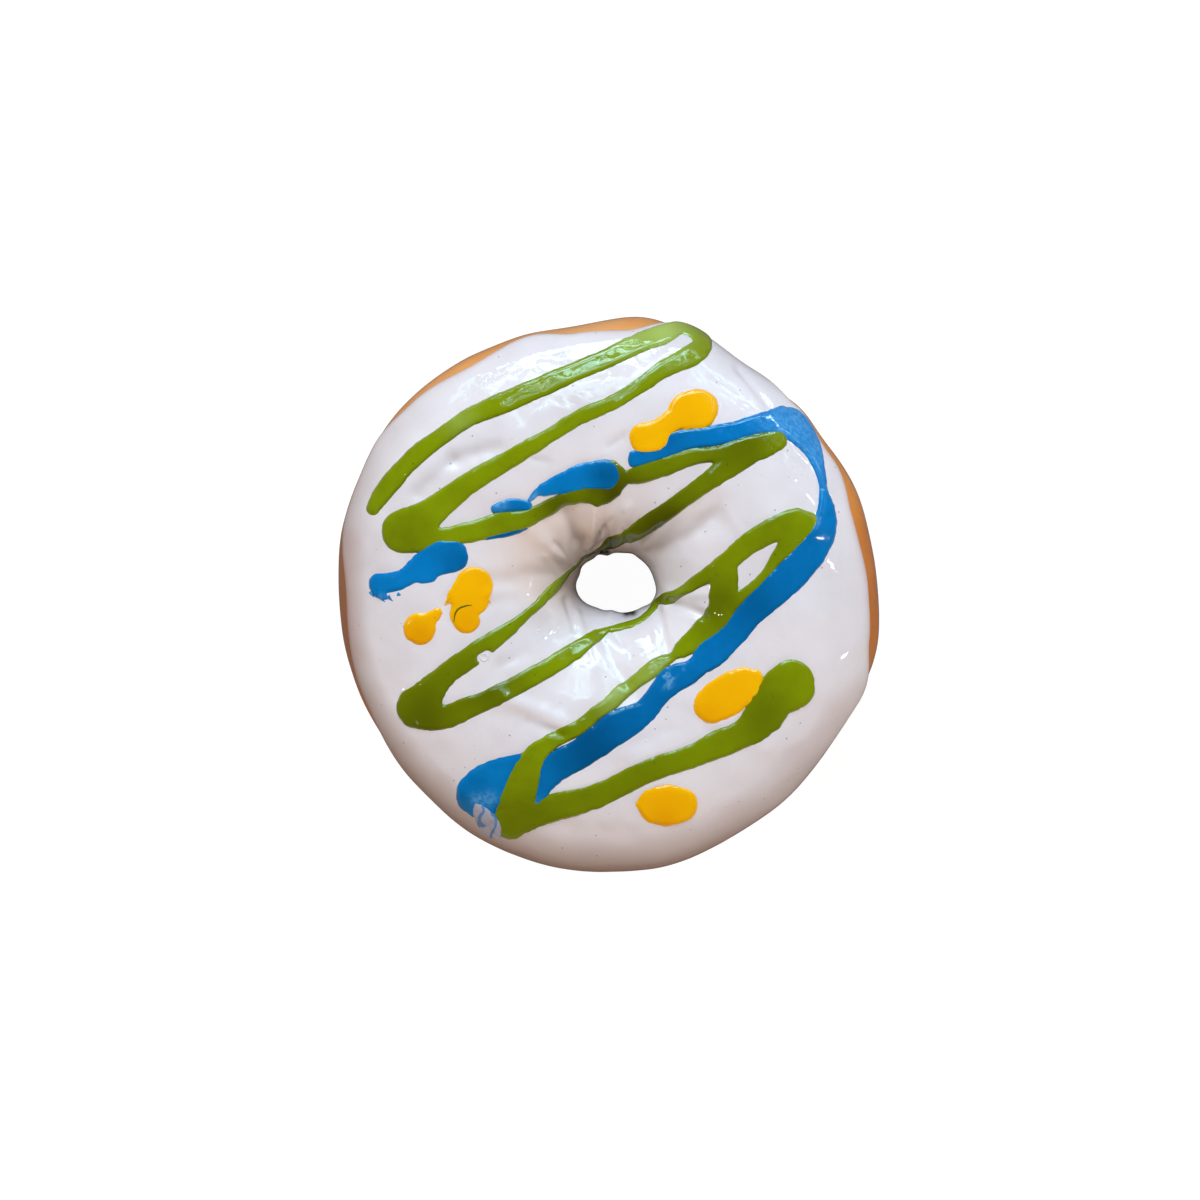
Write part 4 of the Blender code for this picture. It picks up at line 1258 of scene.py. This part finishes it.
# Parts of the mirrored sky: bearing, height, how wide, brightness of its gaps and of its lines.
SKY_PARTS = ((90, 8, 38, 11.0, 13.0), (98, 50, 17, 3.0, 8.0), (44, 22, 28, 0.3, 5.0))
SKY_PART_CORE = 0.6
GAP_EDGE = (0.49, 0.515)
LINE_LEVEL = 0.5
LINE_HALF_WIDTH = 0.01


def towards(bearing, height):
    """Direction of a place from its bearing round the horizon and its height above it, in degrees."""
    turn, rise = math.radians(bearing), math.radians(height)
    return Vector((math.cos(rise) * math.cos(turn), math.cos(rise) * math.sin(turn), math.sin(rise)))


def stepped(value, low, high):
    """A soft step of a number output in the room, from 0 at low to 1 at high."""
    return node(
        room_nodes, "ShaderNodeMapRange", interpolation_type="SMOOTHSTEP",
        Value=value, From_Min=low, From_Max=high,
    ).outputs["Result"]


foliage = node(
    room_nodes, "ShaderNodeTexNoise", Vector=ray, Scale=6.0, Detail=4.0, Roughness=0.6, Distortion=0.8
)
tangle = node(room_nodes, "ShaderNodeTexNoise", Vector=ray, Scale=4.5, Detail=1.0, Distortion=1.6)
gaps = stepped(foliage.outputs["Fac"], *GAP_EDGE)
lines = worked_out(room_nodes, "COMPARE", tangle.outputs["Fac"], LINE_LEVEL, LINE_HALF_WIDTH)
mirrored = 0.0
for bearing, height, reach, gap_light, line_light in SKY_PARTS:
    rim, core = (math.cos(math.radians(reach * share)) for share in (1, SKY_PART_CORE))
    inside = stepped(along(towards(bearing, height)), rim, core)
    bright_gaps = worked_out(room_nodes, "MULTIPLY", gaps, gap_light)
    drawn = worked_out(room_nodes, "MULTIPLY_ADD", lines, line_light, bright_gaps)
    mirrored = worked_out(room_nodes, "MULTIPLY_ADD", inside, drawn, mirrored)
for blend_type, colour in (("MULTIPLY", MIRRORED_SKY), ("ADD", MIRRORED_ROOM)):
    mirrored = node(
        room_nodes, "ShaderNodeMix", data_type="RGBA", blend_type=blend_type, Factor=1.0, A=colour, B=mirrored
    ).outputs["Result"]
ray_kind = node(room_nodes, "ShaderNodeLightPath").outputs
seen_room = mix_colours(room_nodes, ray_kind["Is Glossy Ray"], soft_room.outputs["Color"], mirrored)
seen_room = mix_colours(room_nodes, ray_kind["Is Camera Ray"], seen_room, (1.0, 1.0, 1.0, 1.0))
room_nodes.links.new(seen_room, room_nodes.nodes["Background"].inputs["Color"])

# %% [markdown]
# The main light comes from beyond the top of the picture, half way up, and is large enough for soft
# shadows. It brings out the creases, because their near sides turn away from it. Low lamps all round
# fill in the outer rim, but don't reach down into the hole, so one narrow beam warms its far wall.
#
# The other lamps only show in a gloss: a thin strip low on the right, a comb of narrow slats beyond
# the top, and small spots that sparkle. Each lamp is placed by its bearing and its height in degrees.

# %% Lamps
LAMP_DISTANCE = 2.0
FILL_SIZE = (1.0, 0.25)
SPOT_SIZE = 0.025
WARM_FILL = (1.0, 0.94, 0.90)
COOL_WHITE = (0.8, 0.95, 1.0)
WARM_WHITE = (1.0, 0.88, 0.72)
HOLE_WALL = Vector((-8.5, 6.5, 22.0)) * MM
BEAM_DISTANCE = 1.6


def add_lamp(name, light, place, direction, mirrored):
    """Puts a light in the scene, facing back along its direction. It shows in a gloss or lights the paint."""
    lamp = bpy.data.objects.new(name, light)
    lamp.matrix_world = Matrix.Translation(place) @ (-direction).to_track_quat("-Z", "Y").to_matrix().to_4x4()
    lamp.visible_camera = False
    lamp.visible_diffuse = not mirrored
    lamp.visible_glossy = mirrored
    bpy.context.scene.collection.objects.link(lamp)


def panel(name, bearing, elevation, width, height, brightness, colour, mirrored=True):
    """A rectangle of light, its size in metres."""
    light = bpy.data.lights.new(name, "AREA")
    light.shape = "RECTANGLE"
    light.size = width
    light.size_y = height
    light.energy = brightness * math.pi * width * height
    light.color = colour
    direction = towards(bearing, elevation)
    add_lamp(name, light, direction * LAMP_DISTANCE, direction, mirrored)


panel("main_light", 90, 46, 0.8, 0.8, 15.8, (0.88, 1.01, 1.16), mirrored=False)
for name, bearing, elevation, brightness, colour in (
    ("near_fill", 270, 9, 18.0, WARM_FILL), ("right_fill", 328, 9, 12.0, WARM_FILL),
    ("left_fill", 198, 30, 11.0, WARM_FILL), ("far_left_fill", 150, 12, 5.0, WARM_FILL),
    ("side_fill", 4, 14, 8.5, (0.90, 0.98, 1.10)),
):
    panel(name, bearing, elevation, *FILL_SIZE, brightness, colour, mirrored=False)

beam = bpy.data.lights.new("hole_beam", "SPOT")
beam.spot_size = math.radians(1.0)
beam.spot_blend = 1.0
beam.shadow_soft_size = 0.05
beam.energy = 22.0
beam.color = (1.0, 0.90, 0.80)
beam_direction = towards(318, 52)
add_lamp("hole_beam", beam, HOLE_WALL + beam_direction * BEAM_DISTANCE, beam_direction, mirrored=False)

panel("low_strip", 40, 9, 1.0, 0.03, 14.0, COOL_WHITE)
for number in range(5):
    panel(f"slat_{number}", 104 + 3.4 * number, 44, 0.014, 0.3, 9.0, COOL_WHITE)
for kind, brightness, colour, places in (
    ("spot", 220.0, (1.0, 1.0, 1.0), ((8, 32), (16, 33), (24, 32), (37, 32), (45, 33), (53, 32), (-18, 12))),
    ("warm_spot", 150.0, WARM_WHITE, ((170, 44), (176, 40), (214, 30))),
):
    for number, (bearing, elevation) in enumerate(places):
        panel(f"{kind}_{number}", bearing, elevation, SPOT_SIZE, SPOT_SIZE, brightness, colour)

# %% [markdown]
# ## Tone
#
# The picture is a plain, bright one, so the standard view transform keeps its colours as they are.

# %% Finish
bpy.context.scene.view_settings.view_transform = "Standard"
